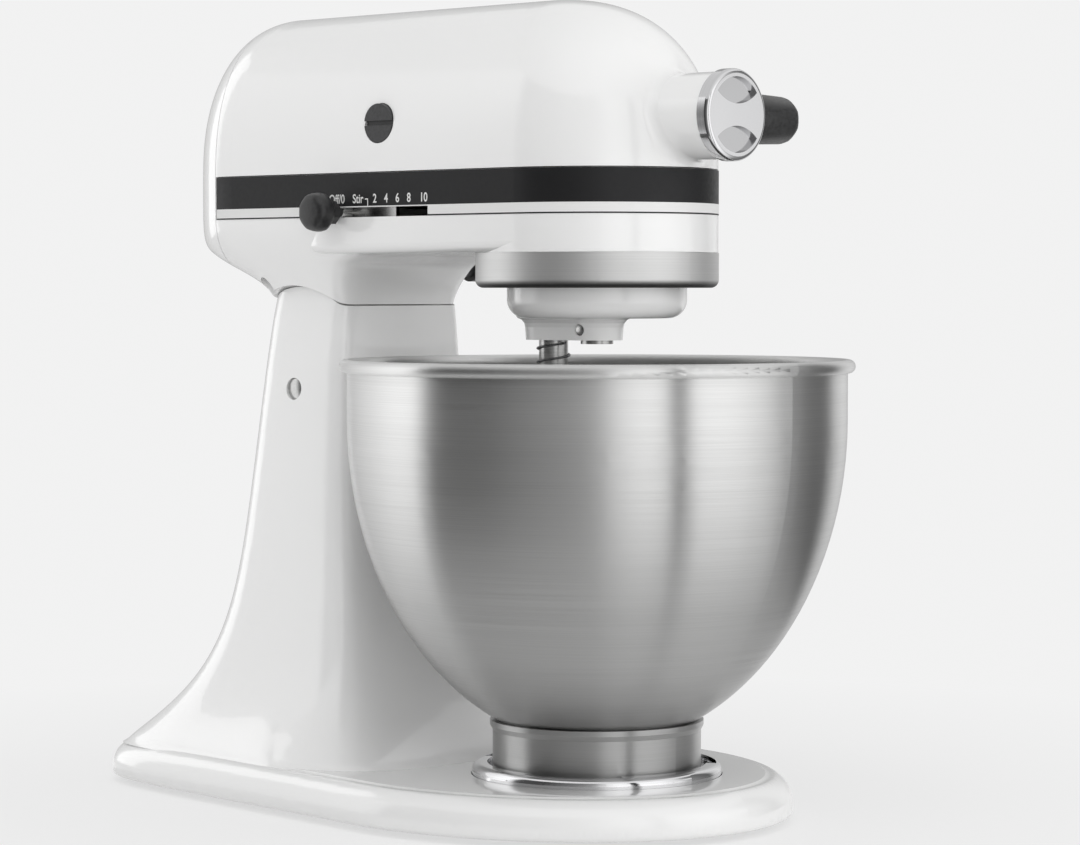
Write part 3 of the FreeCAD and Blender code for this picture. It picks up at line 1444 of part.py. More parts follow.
worm = lengthwise(worm_radius, worm_rear, worm_front)
grooves = []
position = worm_rear + worm_groove_pitch
while position < worm_front - worm_groove_pitch / 2:
    grooves.append(tube(worm_radius + lap, worm_radius - worm_groove_depth, vec(position, 0, motor_z),
                        vec(position + worm_groove_pitch / 2, 0, motor_z)))
    position += worm_groove_pitch
worm = worm.cut(grooves[0].fuse(grooves[1:]))
armature_shaft = join([lengthwise(motor_shaft_radius, rear_bearing_x, worm_rear + lap), worm])
save("armature_shaft", armature_shaft)
save("rear_motor_bearing", tube(bearing_radius, shaft_bore, vec(rear_bearing_x, 0, motor_z),
                                vec(rear_bearing_end, 0, motor_z)))
front_bearing_x = bracket_rear + bracket_extra / 2
save("front_motor_bearing", tube(bearing_radius, shaft_bore, vec(front_bearing_x, 0, motor_z),
                                 vec(front_bearing_x + bearing_length, 0, motor_z)))
fan_disc = lengthwise(fan_radius, fan_rear, fan_rear + fan_disc_thickness)
fan_hub = lengthwise(fan_hub_radius, fan_rear, fan_front)
blades = []
for number in range(fan_blades):
    blade = block(fan_rear + lap, fan_front, -fan_blade_thickness / 2, fan_blade_thickness / 2,
                  motor_z + fan_hub_radius - lap, motor_z + fan_radius - lap)
    blade.rotate(vec(0, 0, motor_z), X, 360 * number / fan_blades)
    blades.append(blade)
fan = join([fan_disc, fan_hub] + blades).cut(lengthwise(shaft_bore, fan_rear - lap, fan_front + lap))
save("motor_fan", fan)


# Carbon brushes with their holders, springs and screw caps, one set each side

caps = []
holders = []
brushes = []
springs = []
brush_tip = commutator_radius + loose_clearance
brush_end = brush_tip + brush_length
slot_floor = cap_face - brush_cap_slot_depth
for side in (-1, 1):
    cap = across(brush_cap_radius, brush_x, motor_z, side * cap_back, side * cap_face)
    slot_cut = block(brush_x - brush_cap_radius, brush_x + brush_cap_radius, -far, far,
                     motor_z - brush_cap_slot / 2, motor_z + brush_cap_slot / 2)
    slot_cut = slot_cut.cut(block(-far, far, -slot_floor, slot_floor, 0, far))
    caps.append(cap.cut(slot_cut))
    holder = across(brush_holder_radius, brush_x, motor_z, side * (brush_tip + brush_bare_length),
                    side * (cap_back - seat_clearance))
    gap = seat_clearance
    passage = block(brush_x - brush_width / 2 - gap, brush_x + brush_width / 2 + gap, -far, far,
                    motor_z - brush_height / 2 - gap, motor_z + brush_height / 2 + gap)
    holders.append(holder.cut(passage))
    low = min(side * brush_tip, side * brush_end)
    high = max(side * brush_tip, side * brush_end)
    brushes.append(block(brush_x - brush_width / 2, brush_x + brush_width / 2, low, high,
                         motor_z - brush_height / 2, motor_z + brush_height / 2))
    spring_outer = brush_width / 2 - seat_clearance
    springs.append(tube(spring_outer, spring_outer - brush_spring_wall,
                        vec(brush_x, side * (brush_end + seat_clearance), motor_z),
                        vec(brush_x, side * (cap_back - seat_clearance), motor_z)))
save("brush_cap_right", caps[0])
save("brush_cap_left", caps[1])
save("brush_holders", Part.makeCompound(holders))
save("carbon_brushes", Part.makeCompound(brushes))
save("brush_springs", Part.makeCompound(springs))
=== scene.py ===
import math

import bpy
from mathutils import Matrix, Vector


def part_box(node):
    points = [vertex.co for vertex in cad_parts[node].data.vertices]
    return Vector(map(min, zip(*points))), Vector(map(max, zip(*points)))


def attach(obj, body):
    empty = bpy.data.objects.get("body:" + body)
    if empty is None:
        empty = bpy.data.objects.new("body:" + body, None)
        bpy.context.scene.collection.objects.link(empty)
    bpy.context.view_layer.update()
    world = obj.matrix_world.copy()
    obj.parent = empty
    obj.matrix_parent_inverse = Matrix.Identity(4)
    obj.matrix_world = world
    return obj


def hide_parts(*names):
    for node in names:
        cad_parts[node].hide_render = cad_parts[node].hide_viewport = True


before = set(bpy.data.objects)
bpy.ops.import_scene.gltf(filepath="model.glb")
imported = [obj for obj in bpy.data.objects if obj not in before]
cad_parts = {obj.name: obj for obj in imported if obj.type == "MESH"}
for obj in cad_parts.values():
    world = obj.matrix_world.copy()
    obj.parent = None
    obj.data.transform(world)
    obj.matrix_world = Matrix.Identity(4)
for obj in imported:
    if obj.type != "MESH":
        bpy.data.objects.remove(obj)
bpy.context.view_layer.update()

bpy.ops.object.select_all(action="DESELECT")

# Enamelled castings: the stand, the two head housings, the rear cover and the planetary are
# aluminium die castings, sprayed with white enamel and baked, so they are glossy with a very
# slight orange peel and a faint unevenness in the white.
castings = ("pedestal", "lower_housing", "upper_housing", "rear_cover", "planetary")
enamel_light = (0.87, 0.87, 0.867, 1.0)
enamel_dark = (0.84, 0.84, 0.837, 1.0)
enamel_smooth = 0.2
enamel_rough = 0.26
enamel_cloud_per_metre = 9.0
peel_per_metre = 650.0
peel_strength = 0.04
peel_depth = 0.0003
glaze_weight = 0.8
glaze_roughness = 0.05


def start_finish(name):
    """A new material with its shader, and the object's own coordinates."""
    material = bpy.data.materials.new(name)
    material.use_nodes = True
    tree = material.node_tree
    shader = tree.nodes["Principled BSDF"]
    place = tree.nodes.new("ShaderNodeTexCoord").outputs["Object"]
    return material, tree, shader, place


def noise(tree, vector, scale, detail=2.0):
    """A soft random pattern."""
    texture = tree.nodes.new("ShaderNodeTexNoise")
    texture.inputs["Scale"].default_value = scale
    texture.inputs["Detail"].default_value = detail
    tree.links.new(vector, texture.inputs["Vector"])
    return texture.outputs["Fac"]


def between(tree, amount, low, high, low_at=0.3, high_at=0.7):
    """A number that runs from low to high with a pattern."""
    span = tree.nodes.new("ShaderNodeMapRange")
    span.inputs["From Min"].default_value = low_at
    span.inputs["From Max"].default_value = high_at
    span.inputs["To Min"].default_value = low
    span.inputs["To Max"].default_value = high
    tree.links.new(amount, span.inputs["Value"])
    return span.outputs["Result"]


def shaded(tree, amount, dark, light, dark_at=0.3, light_at=0.7):
    """A colour that runs from dark to light with a pattern."""
    ramp = tree.nodes.new("ShaderNodeValToRGB")
    ramp.color_ramp.elements[0].position = dark_at
    ramp.color_ramp.elements[0].color = dark
    ramp.color_ramp.elements[1].position = light_at
    ramp.color_ramp.elements[1].color = light
    tree.links.new(amount, ramp.inputs["Fac"])
    return ramp.outputs["Color"]


def dent(tree, shader, height, strength, depth):
    """Small relief on the surface, from a pattern."""
    bump = tree.nodes.new("ShaderNodeBump")
    bump.inputs["Strength"].default_value = strength
    bump.inputs["Distance"].default_value = depth
    tree.links.new(height, bump.inputs["Height"])
    tree.links.new(bump.outputs["Normal"], shader.inputs["Normal"])


def wear(material, *names):
    """Gives a finish to CAD nodes."""
    for name in names:
        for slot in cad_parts[name].material_slots:
            slot.material = material


def white_enamel():
    """Glossy baked enamel."""
    material, tree, shader, place = start_finish("white_enamel")
    cloud = noise(tree, place, enamel_cloud_per_metre)
    white = shaded(tree, cloud, enamel_dark, enamel_light, dark_at=0.0, light_at=1.0)
    tree.links.new(white, shader.inputs["Base Color"])
    gloss = between(tree, cloud, enamel_smooth, enamel_rough, low_at=0.0, high_at=1.0)
    tree.links.new(gloss, shader.inputs["Roughness"])
    peel = noise(tree, place, peel_per_metre, detail=1.0)
    dent(tree, shader, peel, peel_strength, peel_depth)
    shader.inputs["Coat Weight"].default_value = glaze_weight
    shader.inputs["Coat Roughness"].default_value = glaze_roughness
    return material


wear(white_enamel(), *castings)

# Rubber: five moulded feet pressed into the stand, the cord gland in the rear cover and the
# plug in the head's underside are black rubber with a dull, slightly mottled skin.
rubber_black = (0.018, 0.018, 0.019, 1.0)
rubber_grey = (0.04, 0.04, 0.041, 1.0)
rubber_smooth = 0.6
rubber_rough = 0.8
rubber_mottle_per_metre = 350.0
rubber_skin_per_metre = 1800.0
rubber_skin_strength = 0.15
rubber_skin_depth = 0.0003


def black_rubber():
    """Dull moulded rubber."""
    material, tree, shader, place = start_finish("black_rubber")
    mottle = noise(tree, place, rubber_mottle_per_metre)
    tree.links.new(shaded(tree, mottle, rubber_black, rubber_grey), shader.inputs["Base Color"])
    gloss = between(tree, mottle, rubber_smooth, rubber_rough)
    tree.links.new(gloss, shader.inputs["Roughness"])
    skin = noise(tree, place, rubber_skin_per_metre)
    dent(tree, shader, skin, rubber_skin_strength, rubber_skin_depth)
    return material


wear(black_rubber(), "rubber_feet", "cord_gland", "underside_plug")

# Bowl clamp: a pressed steel pan with a rolled lip, chromium plated and polished, screwed to
# the stand. Polishing leaves faint rings about its axis.
bowl_axis = Vector((sum(corner[0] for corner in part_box("bowl")) / 2, 0.0, 0.0))
chrome_light = (0.80, 0.80, 0.81, 1.0)
chrome_dark = (0.70, 0.70, 0.71, 1.0)


def spaced(tree, place, per_metre, centre=(0.0, 0.0, 0.0)):
    """Coordinates moved to a centre and stretched along each axis."""
    mapping = tree.nodes.new("ShaderNodeMapping")
    mapping.inputs["Scale"].default_value = per_metre
    mapping.inputs["Location"].default_value = [-c * s for c, s in zip(centre, per_metre)]
    tree.links.new(place, mapping.inputs["Vector"])
    return mapping.outputs["Vector"]


def grained(name, dark, light, per_metre, detail, smooth, rough, centre=(0.0, 0.0, 0.0),
            metallic=1.0, relief=0.0, relief_depth=0.0):
    """A finish whose colour, gloss and relief follow one random grain, which has its own
    fineness along each axis. It is metal, unless metallic is 0."""
    material, tree, shader, place = start_finish(name)
    grain = noise(tree, spaced(tree, place, per_metre, centre), scale=1.0, detail=detail)
    tree.links.new(shaded(tree, grain, dark, light), shader.inputs["Base Color"])
    tree.links.new(between(tree, grain, smooth, rough), shader.inputs["Roughness"])
    shader.inputs["Metallic"].default_value = metallic
    if relief:
        dent(tree, shader, grain, relief, relief_depth)
    return material


def polished_chrome(name, centre, per_metre):
    """Bright plating with fine polishing lines."""
    return grained(name, chrome_dark, chrome_light, per_metre, detail=3.0, smooth=0.06,
                   rough=0.12, centre=centre)


wear(polished_chrome("clamp_chrome", bowl_axis, per_metre=(12.0, 12.0, 2500.0)),
     "bowl_clamp_plate")

# Screws: steel machine screws, zinc plated to a grey that is a little cloudy. They are turned
# into the castings, where they hold the clamp, the hinge pin, the rear cover and the housings.
zinc_light = (0.55, 0.55, 0.54, 1.0)
zinc_dark = (0.36, 0.36, 0.36, 1.0)
zinc_plate = grained("zinc_plate", zinc_dark, zinc_light, per_metre=3 * (420.0,), detail=3.0,
                     smooth=0.28, rough=0.45)
wear(zinc_plate, "clamp_plate_screws", "hinge_set_screw", "height_adjusting_screw",
     "rear_cover_screw", "housing_screws")

# Bowl: one deep-drawn stainless shell with a rolled rim, spot welded to a foot ring with three
# lugs. It is brushed while it spins, so its fine lines run round it. Its colour is dimmed
# towards the narrow bottom: a painted shade for the dark reflections that the bottom shows.
bowl_light = (0.77, 0.77, 0.765, 1.0)
bowl_dark = (0.68, 0.68, 0.675, 1.0)
bowl_painted_shade_share = 0.62
bowl_painted_shade_height = 0.095
bowl_unshaded_height = 0.178
line_round_per_metre = 14.0
line_strength = 0.02
line_depth = 0.0002
streak_round_per_metre = 5.0
streak_share = 0.3
streak_spread = 0.03
quarter_turn = 0.25


def brushed_steel(name, dark, light, fineness, rough, stretch):
    """Stainless steel with fine lines round the bowl's axis; stretch is how far they smear a
    reflection up and down."""
    material, tree, shader, place = start_finish(name)
    line_scale = (line_round_per_metre, line_round_per_metre, fineness)
    lines = noise(tree, spaced(tree, place, line_scale, bowl_axis), scale=1.0, detail=4.0)
    streak_scale = (streak_round_per_metre, streak_round_per_metre, fineness * streak_share)
    streaks = noise(tree, spaced(tree, place, streak_scale, bowl_axis), scale=1.0)
    gloss = between(tree, streaks, rough - streak_spread, rough + streak_spread)
    tree.links.new(gloss, shader.inputs["Roughness"])
    dent(tree, shader, lines, line_strength, line_depth)
    tangent = tree.nodes.new("ShaderNodeTangent")
    tangent.direction_type = "RADIAL"
    tangent.axis = "Z"
    tree.links.new(tangent.outputs["Tangent"], shader.inputs["Tangent"])
    shader.inputs["Metallic"].default_value = 1.0
    shader.inputs["Anisotropic"].default_value = stretch
    shader.inputs["Anisotropic Rotation"].default_value = quarter_turn
    tree.links.new(shaded(tree, lines, dark, light), shader.inputs["Base Color"])
    return material


def with_painted_shade(material, axis, share, grey_at, bright_at):
    """Paints shade on a finish: dims its colour along one axis, to a share of it at one place and
    not at all at another."""
    tree = material.node_tree
    paint = tree.nodes["Principled BSDF"].inputs["Base Color"]
    split = tree.nodes.new("ShaderNodeSeparateXYZ")
    tree.links.new(tree.nodes["Texture Coordinate"].outputs["Object"], split.inputs["Vector"])
    dimmed = tree.nodes.new("ShaderNodeVectorMath")
    dimmed.operation = "SCALE"
    tree.links.new(paint.links[0].from_socket, dimmed.inputs["Vector"])
    amount = between(tree, split.outputs[axis], share, 1.0, grey_at, bright_at)
    tree.links.new(amount, dimmed.inputs["Scale"])
    tree.links.new(dimmed.outputs["Vector"], paint)
    return material


bowl_steel = brushed_steel("bowl_steel", bowl_dark, bowl_light, fineness=7000.0, rough=0.36,
                           stretch=0.96)
# Painted shade: the bowl's colour is dimmed below the unshaded height.
wear(with_painted_shade(bowl_steel, "Z", bowl_painted_shade_share, bowl_painted_shade_height, bowl_unshaded_height),
     "bowl", "bowl_foot")

# Drip ring: a pressed stainless band round the head's spigot, brushed round its axis. Its colour
# is dimmed along the lower edge: a painted shade for the dark reflection along its lip.
ring_light = (0.84, 0.84, 0.835, 1.0)
ring_dark = (0.78, 0.78, 0.775, 1.0)
lip_painted_shade_share = 0.22
lip_painted_shade_height = 0.0012
lip_unshaded_height = 0.0032
ring_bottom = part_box("drip_ring")[0].z
ring_steel = brushed_steel("ring_steel", ring_dark, ring_light, fineness=6000.0, rough=0.57,
                           stretch=0.3)
# Painted shade along the ring's lower lip.
wear(with_painted_shade(ring_steel, "Z", lip_painted_shade_share, ring_bottom + lip_painted_shade_height,
            ring_bottom + lip_unshaded_height), "drip_ring")

# Pins and shafts: turned and ground steel, with fine turning lines. The hinge pin and the
# planetary's roll pin are pressed in across the castings, and their chamfered ends sit a little
# inside their holes.
ground_light = (0.62, 0.62, 0.61, 1.0)
ground_dark = (0.42, 0.42, 0.42, 1.0)
ground_along = 60.0
ground_across = 3000.0


def ground_steel(name, per_metre):
    """Ground steel with fine lines, drawn out along some of the axes."""
    return grained(name, ground_dark, ground_light, per_metre, detail=3.0, smooth=0.18,
                   rough=0.26)


wear(ground_steel("upright_shaft_steel", (ground_along, ground_along, ground_across)),
     "centre_shaft", "beater_shaft", "worm_wheel_shaft")
wear(ground_steel("cross_pin_steel", (ground_along, ground_across, ground_along)),
     "beater_cross_pin", "lock_cam", "attachment_stud", "speed_lever")
wear(ground_steel("long_shaft_steel", (ground_across, ground_along, ground_along)),
     "hub_drive_shaft", "armature_shaft")

pin_finish = ground_steel("pin_end_steel", (ground_across, ground_along, ground_across))
pin_sides = 48
pin_recess = 0.0004
pin_chamfer_share = 0.09
pin_chamfer_steps = 2
pin_crease = math.radians(30.0)
facing = 0.99


def pick_faces(piece, way):
    """Selects the faces that point one way, and nothing else."""
    for element in (*piece.data.vertices, *piece.data.edges):
        element.select = False
    for face in piece.data.polygons:
        face.select = face.normal.dot(way) > facing


def cross_pin(node, body):
    """A pin along Y over its CAD node: chamfered ends, each a little deeper in its hole."""
    low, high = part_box(node)
    radius = (high.z - low.z) / 2
    depth = high.y - low.y - 2 * pin_recess
    bpy.ops.mesh.primitive_cylinder_add(vertices=pin_sides, radius=radius, depth=depth,
                                        rotation=(math.pi / 2, 0.0, 0.0))
    bpy.ops.object.transform_apply(location=True, rotation=True, scale=True)
    pin = bpy.context.object
    pin.name = node + "_ground"
    for end in (-1.0, 1.0):
        pick_faces(pin, Vector((0.0, end, 0.0)))
        bpy.ops.object.mode_set(mode="EDIT")
        bpy.ops.mesh.bevel(offset=radius * pin_chamfer_share, segments=pin_chamfer_steps,
                           profile=0.5)
        bpy.ops.object.mode_set(mode="OBJECT")
    bpy.ops.object.shade_smooth_by_angle(angle=pin_crease)
    pin.location = (low + high) / 2
    bpy.ops.object.transform_apply(location=True, rotation=True, scale=True)
    pin.data.materials.append(pin_finish)
    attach(pin, body)
    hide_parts(node)
    bpy.ops.object.select_all(action="DESELECT")


cross_pin("hinge_pin", "base")
cross_pin("planetary_roll_pin", "planetary")

# Springs: steel wire, cold drawn and wound, with a dark oiled skin. The beater's is an open coil
# round its shaft, and the motor's push its brushes from behind.
wire_light = (0.34, 0.34, 0.35, 1.0)
wire_dark = (0.16, 0.16, 0.165, 1.0)
wire_finish = grained("spring_wire", wire_dark, wire_light, per_metre=3 * (900.0,), detail=3.0,
                      smooth=0.3, rough=0.45)
wear(wire_finish, "brush_springs")
beater_wire = 0.0005
beater_wire_gap = 0.00015
beater_wire_sides = 12
beater_pitch = 0.006
steps_per_turn = 40
wire_crease = math.radians(40.0)


def beater_spring():
    """The open coil round the beater shaft, of thinner wire than the solid that stands for it."""
    low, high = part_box("beater_spring")
    shaft_low, shaft_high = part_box("beater_shaft")
    coil_radius = (shaft_high.x - shaft_low.x) / 2 + beater_wire_gap + beater_wire
    bpy.ops.mesh.primitive_circle_add(vertices=beater_wire_sides, radius=beater_wire,
                                      location=(coil_radius, 0.0, 0.0),
                                      rotation=(math.pi / 2, 0.0, 0.0))
    bpy.ops.object.transform_apply(location=True, rotation=True, scale=True)
    spring = bpy.context.object
    spring.name = "beater_spring_wire"
    bpy.ops.object.modifier_add(type="SCREW")
    winding = spring.modifiers[-1]
    winding.screw_offset = beater_pitch
    winding.iterations = round((high.z - low.z) / beater_pitch)
    winding.steps = steps_per_turn
    winding.render_steps = steps_per_turn
    winding.use_merge_vertices = True
    bpy.ops.object.modifier_apply(modifier=winding.name)
    bpy.ops.object.mode_set(mode="EDIT")
    bpy.ops.mesh.select_all(action="SELECT")
    bpy.ops.mesh.fill_holes(sides=0)
    bpy.ops.mesh.normals_make_consistent(inside=False)
    bpy.ops.object.mode_set(mode="OBJECT")
    bpy.ops.object.shade_smooth_by_angle(angle=wire_crease)
    spring.location = ((low.x + high.x) / 2, (low.y + high.y) / 2, low.z + beater_wire)
    bpy.ops.object.transform_apply(location=True, rotation=True, scale=True)
    spring.data.materials.append(wire_finish)
    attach(spring, "beater_shaft")
    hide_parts("beater_spring")
    bpy.ops.object.select_all(action="DESELECT")


beater_spring()

# Gears: machined steel for the ring, pinions, centre gear and bevel, with grease in their teeth.
# The ring sits fast in the head's spigot, and the others sit fast on their shafts.
gear_light = (0.42, 0.42, 0.43, 1.0)
gear_dark = (0.2, 0.195, 0.18, 1.0)
gear_steel = grained("gear_steel", gear_dark, gear_light, per_metre=3 * (140.0,), detail=4.0,
                     smooth=0.3, rough=0.42)
wear(gear_steel, "ring_gear", "planet_pinion", "centre_gear", "drive_pinion", "hub_bevel_gear")

# Bronze: the worm wheel is machined bronze. The bushings and bearings are pressed from bronze
# powder, sintered, oiled and pushed into their seats.
bronze_light = (0.58, 0.4, 0.17, 1.0)
bronze_dark = (0.36, 0.23, 0.09, 1.0)
bronze = grained("bronze", bronze_dark, bronze_light, per_metre=3 * (1500.0,), detail=2.0,
                 smooth=0.3, rough=0.45)
wear(bronze, "worm_wheel", "centre_bearing", "hub_bushing", "rear_motor_bearing",
     "front_motor_bearing")

# Gear bracket: a bare aluminium die casting with a sandy skin, screwed to the head's floor,
# where it holds the gears at their distances.
alloy_light = (0.6, 0.6, 0.6, 1.0)
alloy_dark = (0.45, 0.45, 0.455, 1.0)
cast_alloy = grained("cast_alloy", alloy_dark, alloy_light, per_metre=3 * (800.0,), detail=3.0,
                     smooth=0.4, rough=0.55, relief=0.15, relief_depth=0.0002)
wear(cast_alloy, "gear_bracket")

# Motor: stacked iron sheets for the stator and armature, copper windings and commutator bars,
# a moulded fan and brush holders, and pressed carbon brushes.
iron_light = (0.2, 0.2, 0.205, 1.0)
iron_dark = (0.07, 0.07, 0.072, 1.0)
iron_sheets = grained("iron_sheets", iron_dark, iron_light, per_metre=(1000.0, 20.0, 20.0),
                      detail=2.0, smooth=0.35, rough=0.55, relief=0.3, relief_depth=0.0003)
wear(iron_sheets, "motor_stator", "armature_core")
copper_light = (0.58, 0.25, 0.11, 1.0)
copper_dark = (0.34, 0.12, 0.05, 1.0)
copper = grained("copper", copper_dark, copper_light, per_metre=(1400.0, 60.0, 60.0),
                 detail=2.0, smooth=0.29, rough=0.4, relief=0.3, relief_depth=0.0003)
wear(copper, "stator_windings", "commutator")
moulding_light = (0.05, 0.05, 0.052, 1.0)
moulding_dark = (0.022, 0.022, 0.023, 1.0)
moulding_spread = 0.08
carbon_light = (0.05, 0.05, 0.05, 1.0)
carbon_dark = (0.02, 0.02, 0.02, 1.0)


def moulding(name, dark, light, rough):
    """Moulded plastic, pressed carbon or ink with a fine skin."""
    return grained(name, dark, light, per_metre=3 * (700.0,), detail=3.0,
                   smooth=rough - moulding_spread, rough=rough + moulding_spread, metallic=0.0,
                   relief=0.06, relief_depth=0.0002)


dark_moulding = moulding("dark_moulding", moulding_dark, moulding_light, rough=0.4)
wear(dark_moulding, "motor_fan", "brush_holders", "brush_cap_right", "brush_cap_left")
wear(moulding("carbon", carbon_dark, carbon_light, rough=0.65), "carbon_brushes")

# Speed control board: a small plate of brown phenolic, cut from pressed sheet and fixed in the
# head behind the speed slot.
board_light = (0.2, 0.11, 0.045, 1.0)
board_dark = (0.12, 0.06, 0.025, 1.0)
wear(moulding("phenolic", board_dark, board_light, rough=0.5), "speed_control_board")

# Trim band: an anodised strip wrapped round the head, black above and white below, with a thin
# dark painted shadow line at its lower edge.
band_low, band_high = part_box("trim_band")
stripe_height = 0.0046
painted_shadow_line_height = 0.0005
band_black = (0.012, 0.012, 0.013, 1.0)
band_white = (0.78, 0.78, 0.775, 1.0)
band_skin_per_metre = 500.0
band_smooth = 0.4
band_rough = 0.5
band_sheen = 0.3


def banded():
    """Black over white, told apart by height."""
    material, tree, shader, place = start_finish("trim_band")
    split = tree.nodes.new("ShaderNodeSeparateXYZ")
    tree.links.new(place, split.inputs["Vector"])
    height = between(tree, split.outputs["Z"], 0.0, 1.0, band_low.z, band_high.z)
    ramp = tree.nodes.new("ShaderNodeValToRGB")
    ramp.color_ramp.interpolation = "CONSTANT"
    band_height = band_high.z - band_low.z
    # Black at the very bottom is the painted shadow line; then white up to the stripe, then
    # black.
    ramp.color_ramp.elements[0].color = band_black
    ramp.color_ramp.elements[1].position = painted_shadow_line_height / band_height
    ramp.color_ramp.elements[1].color = band_white
    ramp.color_ramp.elements.new(stripe_height / band_height).color = band_black
    tree.links.new(height, ramp.inputs["Fac"])
    tree.links.new(ramp.outputs["Color"], shader.inputs["Base Color"])
    skin = noise(tree, place, band_skin_per_metre)
    tree.links.new(between(tree, skin, band_smooth, band_rough), shader.inputs["Roughness"])
    shader.inputs["Specular IOR Level"].default_value = band_sheen
    return material


wear(banded(), "trim_band")

# Speed scale: figures and words screen printed in white ink over the speed slot, and a hooked
# tick that points from the slowest speed's word to its place on the slot.
ink_light = (0.80, 0.80, 0.79, 1.0)
ink_dark = (0.70, 0.70, 0.69, 1.0)
ink_thickness = 0.00005
scale_height = 0.2677
figure_size = 0.0055
figure_narrowing = 0.86
figure_boldness = 0.00009
tick_width = 0.0005
tick_reach = 0.0017
tick_drop = 0.0038
tick_x = -0.0178
scale_words = (("Off/0", -0.0372), ("Stir", -0.0239), ("2", -0.0134), ("4", -0.0064),
               ("6", 0.0006), ("8", 0.0076), ("10", 0.0166))


def tick_bar(x, z, width, height):
    """A flat printed bar, in front of the band."""
    bpy.ops.mesh.primitive_plane_add(size=1.0, location=(x, band_low.y, z),
                                     rotation=(math.pi / 2, 0.0, 0.0))
    bpy.context.object.scale = (width, height, 1.0)
    return bpy.context.object


def speed_scale():
    """The printed figures, words and tick, laid on the band as one piece."""
    drop_height = scale_height - tick_drop / 2 + tick_width / 2
    marks = [tick_bar(tick_x - tick_reach / 2, scale_height, tick_reach, tick_width),
             tick_bar(tick_x, drop_height, tick_width, tick_drop)]
    for words, x in scale_words:
        bpy.ops.object.text_add(location=(x, band_low.y, scale_height),
                                rotation=(math.pi / 2, 0.0, 0.0))
        text = bpy.context.object
        text.data.body = words
        text.data.size = figure_size
        text.data.align_x = "CENTER"
        text.data.align_y = "CENTER"
        text.data.offset = figure_boldness
        text.scale.x = figure_narrowing
        bpy.ops.object.convert(target="MESH")
        marks.append(bpy.context.object)
    for mark in marks:
        mark.select_set(True)
    bpy.ops.object.join()
    bpy.ops.object.transform_apply(location=True, rotation=True, scale=True)
    printed = bpy.context.object
    printed.name = "speed_scale"
    bpy.ops.object.modifier_add(type="SHRINKWRAP")
    laid = printed.modifiers[-1]
    laid.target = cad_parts["trim_band"]
    laid.wrap_method = "NEAREST_SURFACEPOINT"
    laid.wrap_mode = "ABOVE_SURFACE"
    laid.offset = ink_thickness
    bpy.ops.object.modifier_apply(modifier=laid.name)
    printed.data.materials.append(moulding("white_ink", ink_dark, ink_light, rough=0.5))
    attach(printed, "head")
    bpy.ops.object.select_all(action="DESELECT")


speed_scale()

# Knobs: the speed, lock and attachment knobs are black phenolic, moulded as fat eight-sided caps
# with well rounded edges and a satin skin, and pressed on their levers. The lock's shaft is
# blackened to match.
knob_light = (0.03, 0.03, 0.031, 1.0)
knob_dark = (0.016, 0.016, 0.0165, 1.0)
knob_finish = moulding("knob_black", knob_dark, knob_light, rough=0.38)
wear(knob_finish, "lock_shaft")
knob_sides = 8
knob_nose_share = 0.9
knob_round_share = 0.32
knob_round_steps = 5
knob_crease = math.radians(40.0)
collar_share = 0.6


def knob(node, body, way, girth, collar, longer, shift):
    """One rounded knob along Y over its CAD node. Its nose points way, longer is how far it
    passes the node's, girth widens it and shift moves it along X. A thinner collar of the given
    length joins it to its lever."""
    low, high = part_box(node)
    radius = girth * (high.z - low.z) / 2
    depth = high.y - low.y + longer - collar
    bpy.ops.mesh.primitive_cylinder_add(vertices=knob_sides, radius=radius, depth=depth,
                                        rotation=(0.0, 0.0, math.pi / knob_sides))
    bpy.ops.object.transform_apply(location=True, rotation=True, scale=True)
    piece = bpy.context.object
    piece.name = node + "_cap"
    pick_faces(piece, Vector((0.0, 0.0, 1.0)))
    bpy.ops.object.mode_set(mode="EDIT")
    bpy.ops.transform.resize(value=(knob_nose_share, knob_nose_share, 1.0))
    bpy.ops.mesh.select_all(action="SELECT")
    bpy.ops.mesh.bevel(offset=radius * knob_round_share, segments=knob_round_steps, profile=0.5)
    bpy.ops.object.mode_set(mode="OBJECT")
    pick_faces(piece, Vector((0.0, 0.0, -1.0)))
    bpy.ops.object.mode_set(mode="EDIT")
    bpy.ops.mesh.inset(thickness=radius * (1.0 - collar_share - knob_round_share))
    bpy.ops.mesh.extrude_region_move(TRANSFORM_OT_translate={"value": (0.0, 0.0, -collar)})
    bpy.ops.mesh.select_all(action="SELECT")
    bpy.ops.mesh.normals_make_consistent(inside=False)
    bpy.ops.object.mode_set(mode="OBJECT")
    bpy.ops.object.shade_smooth_by_angle(angle=knob_crease)
    nose = high.y if way > 0.0 else low.y
    piece.rotation_euler.x = -way * math.pi / 2
    piece.location = ((low.x + high.x) / 2 + shift, nose + way * (longer - depth / 2),
                      (low.z + high.z) / 2)
    bpy.ops.object.transform_apply(location=True, rotation=True, scale=True)
    piece.data.materials.append(knob_finish)
    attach(piece, body)
    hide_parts(node)
    bpy.ops.object.select_all(action="DESELECT")


knob("speed_knob", "speed_lever", way=-1.0, girth=1.18, collar=0.0055, longer=0.001, shift=-0.005)
knob("lock_knob", "lock_lever", way=1.0, girth=1.08, collar=0.002, longer=0.0, shift=0.0)
knob("attachment_knob", "attachment_knob", way=1.0, girth=1.24, collar=0.003, longer=0.006,
     shift=0.0)

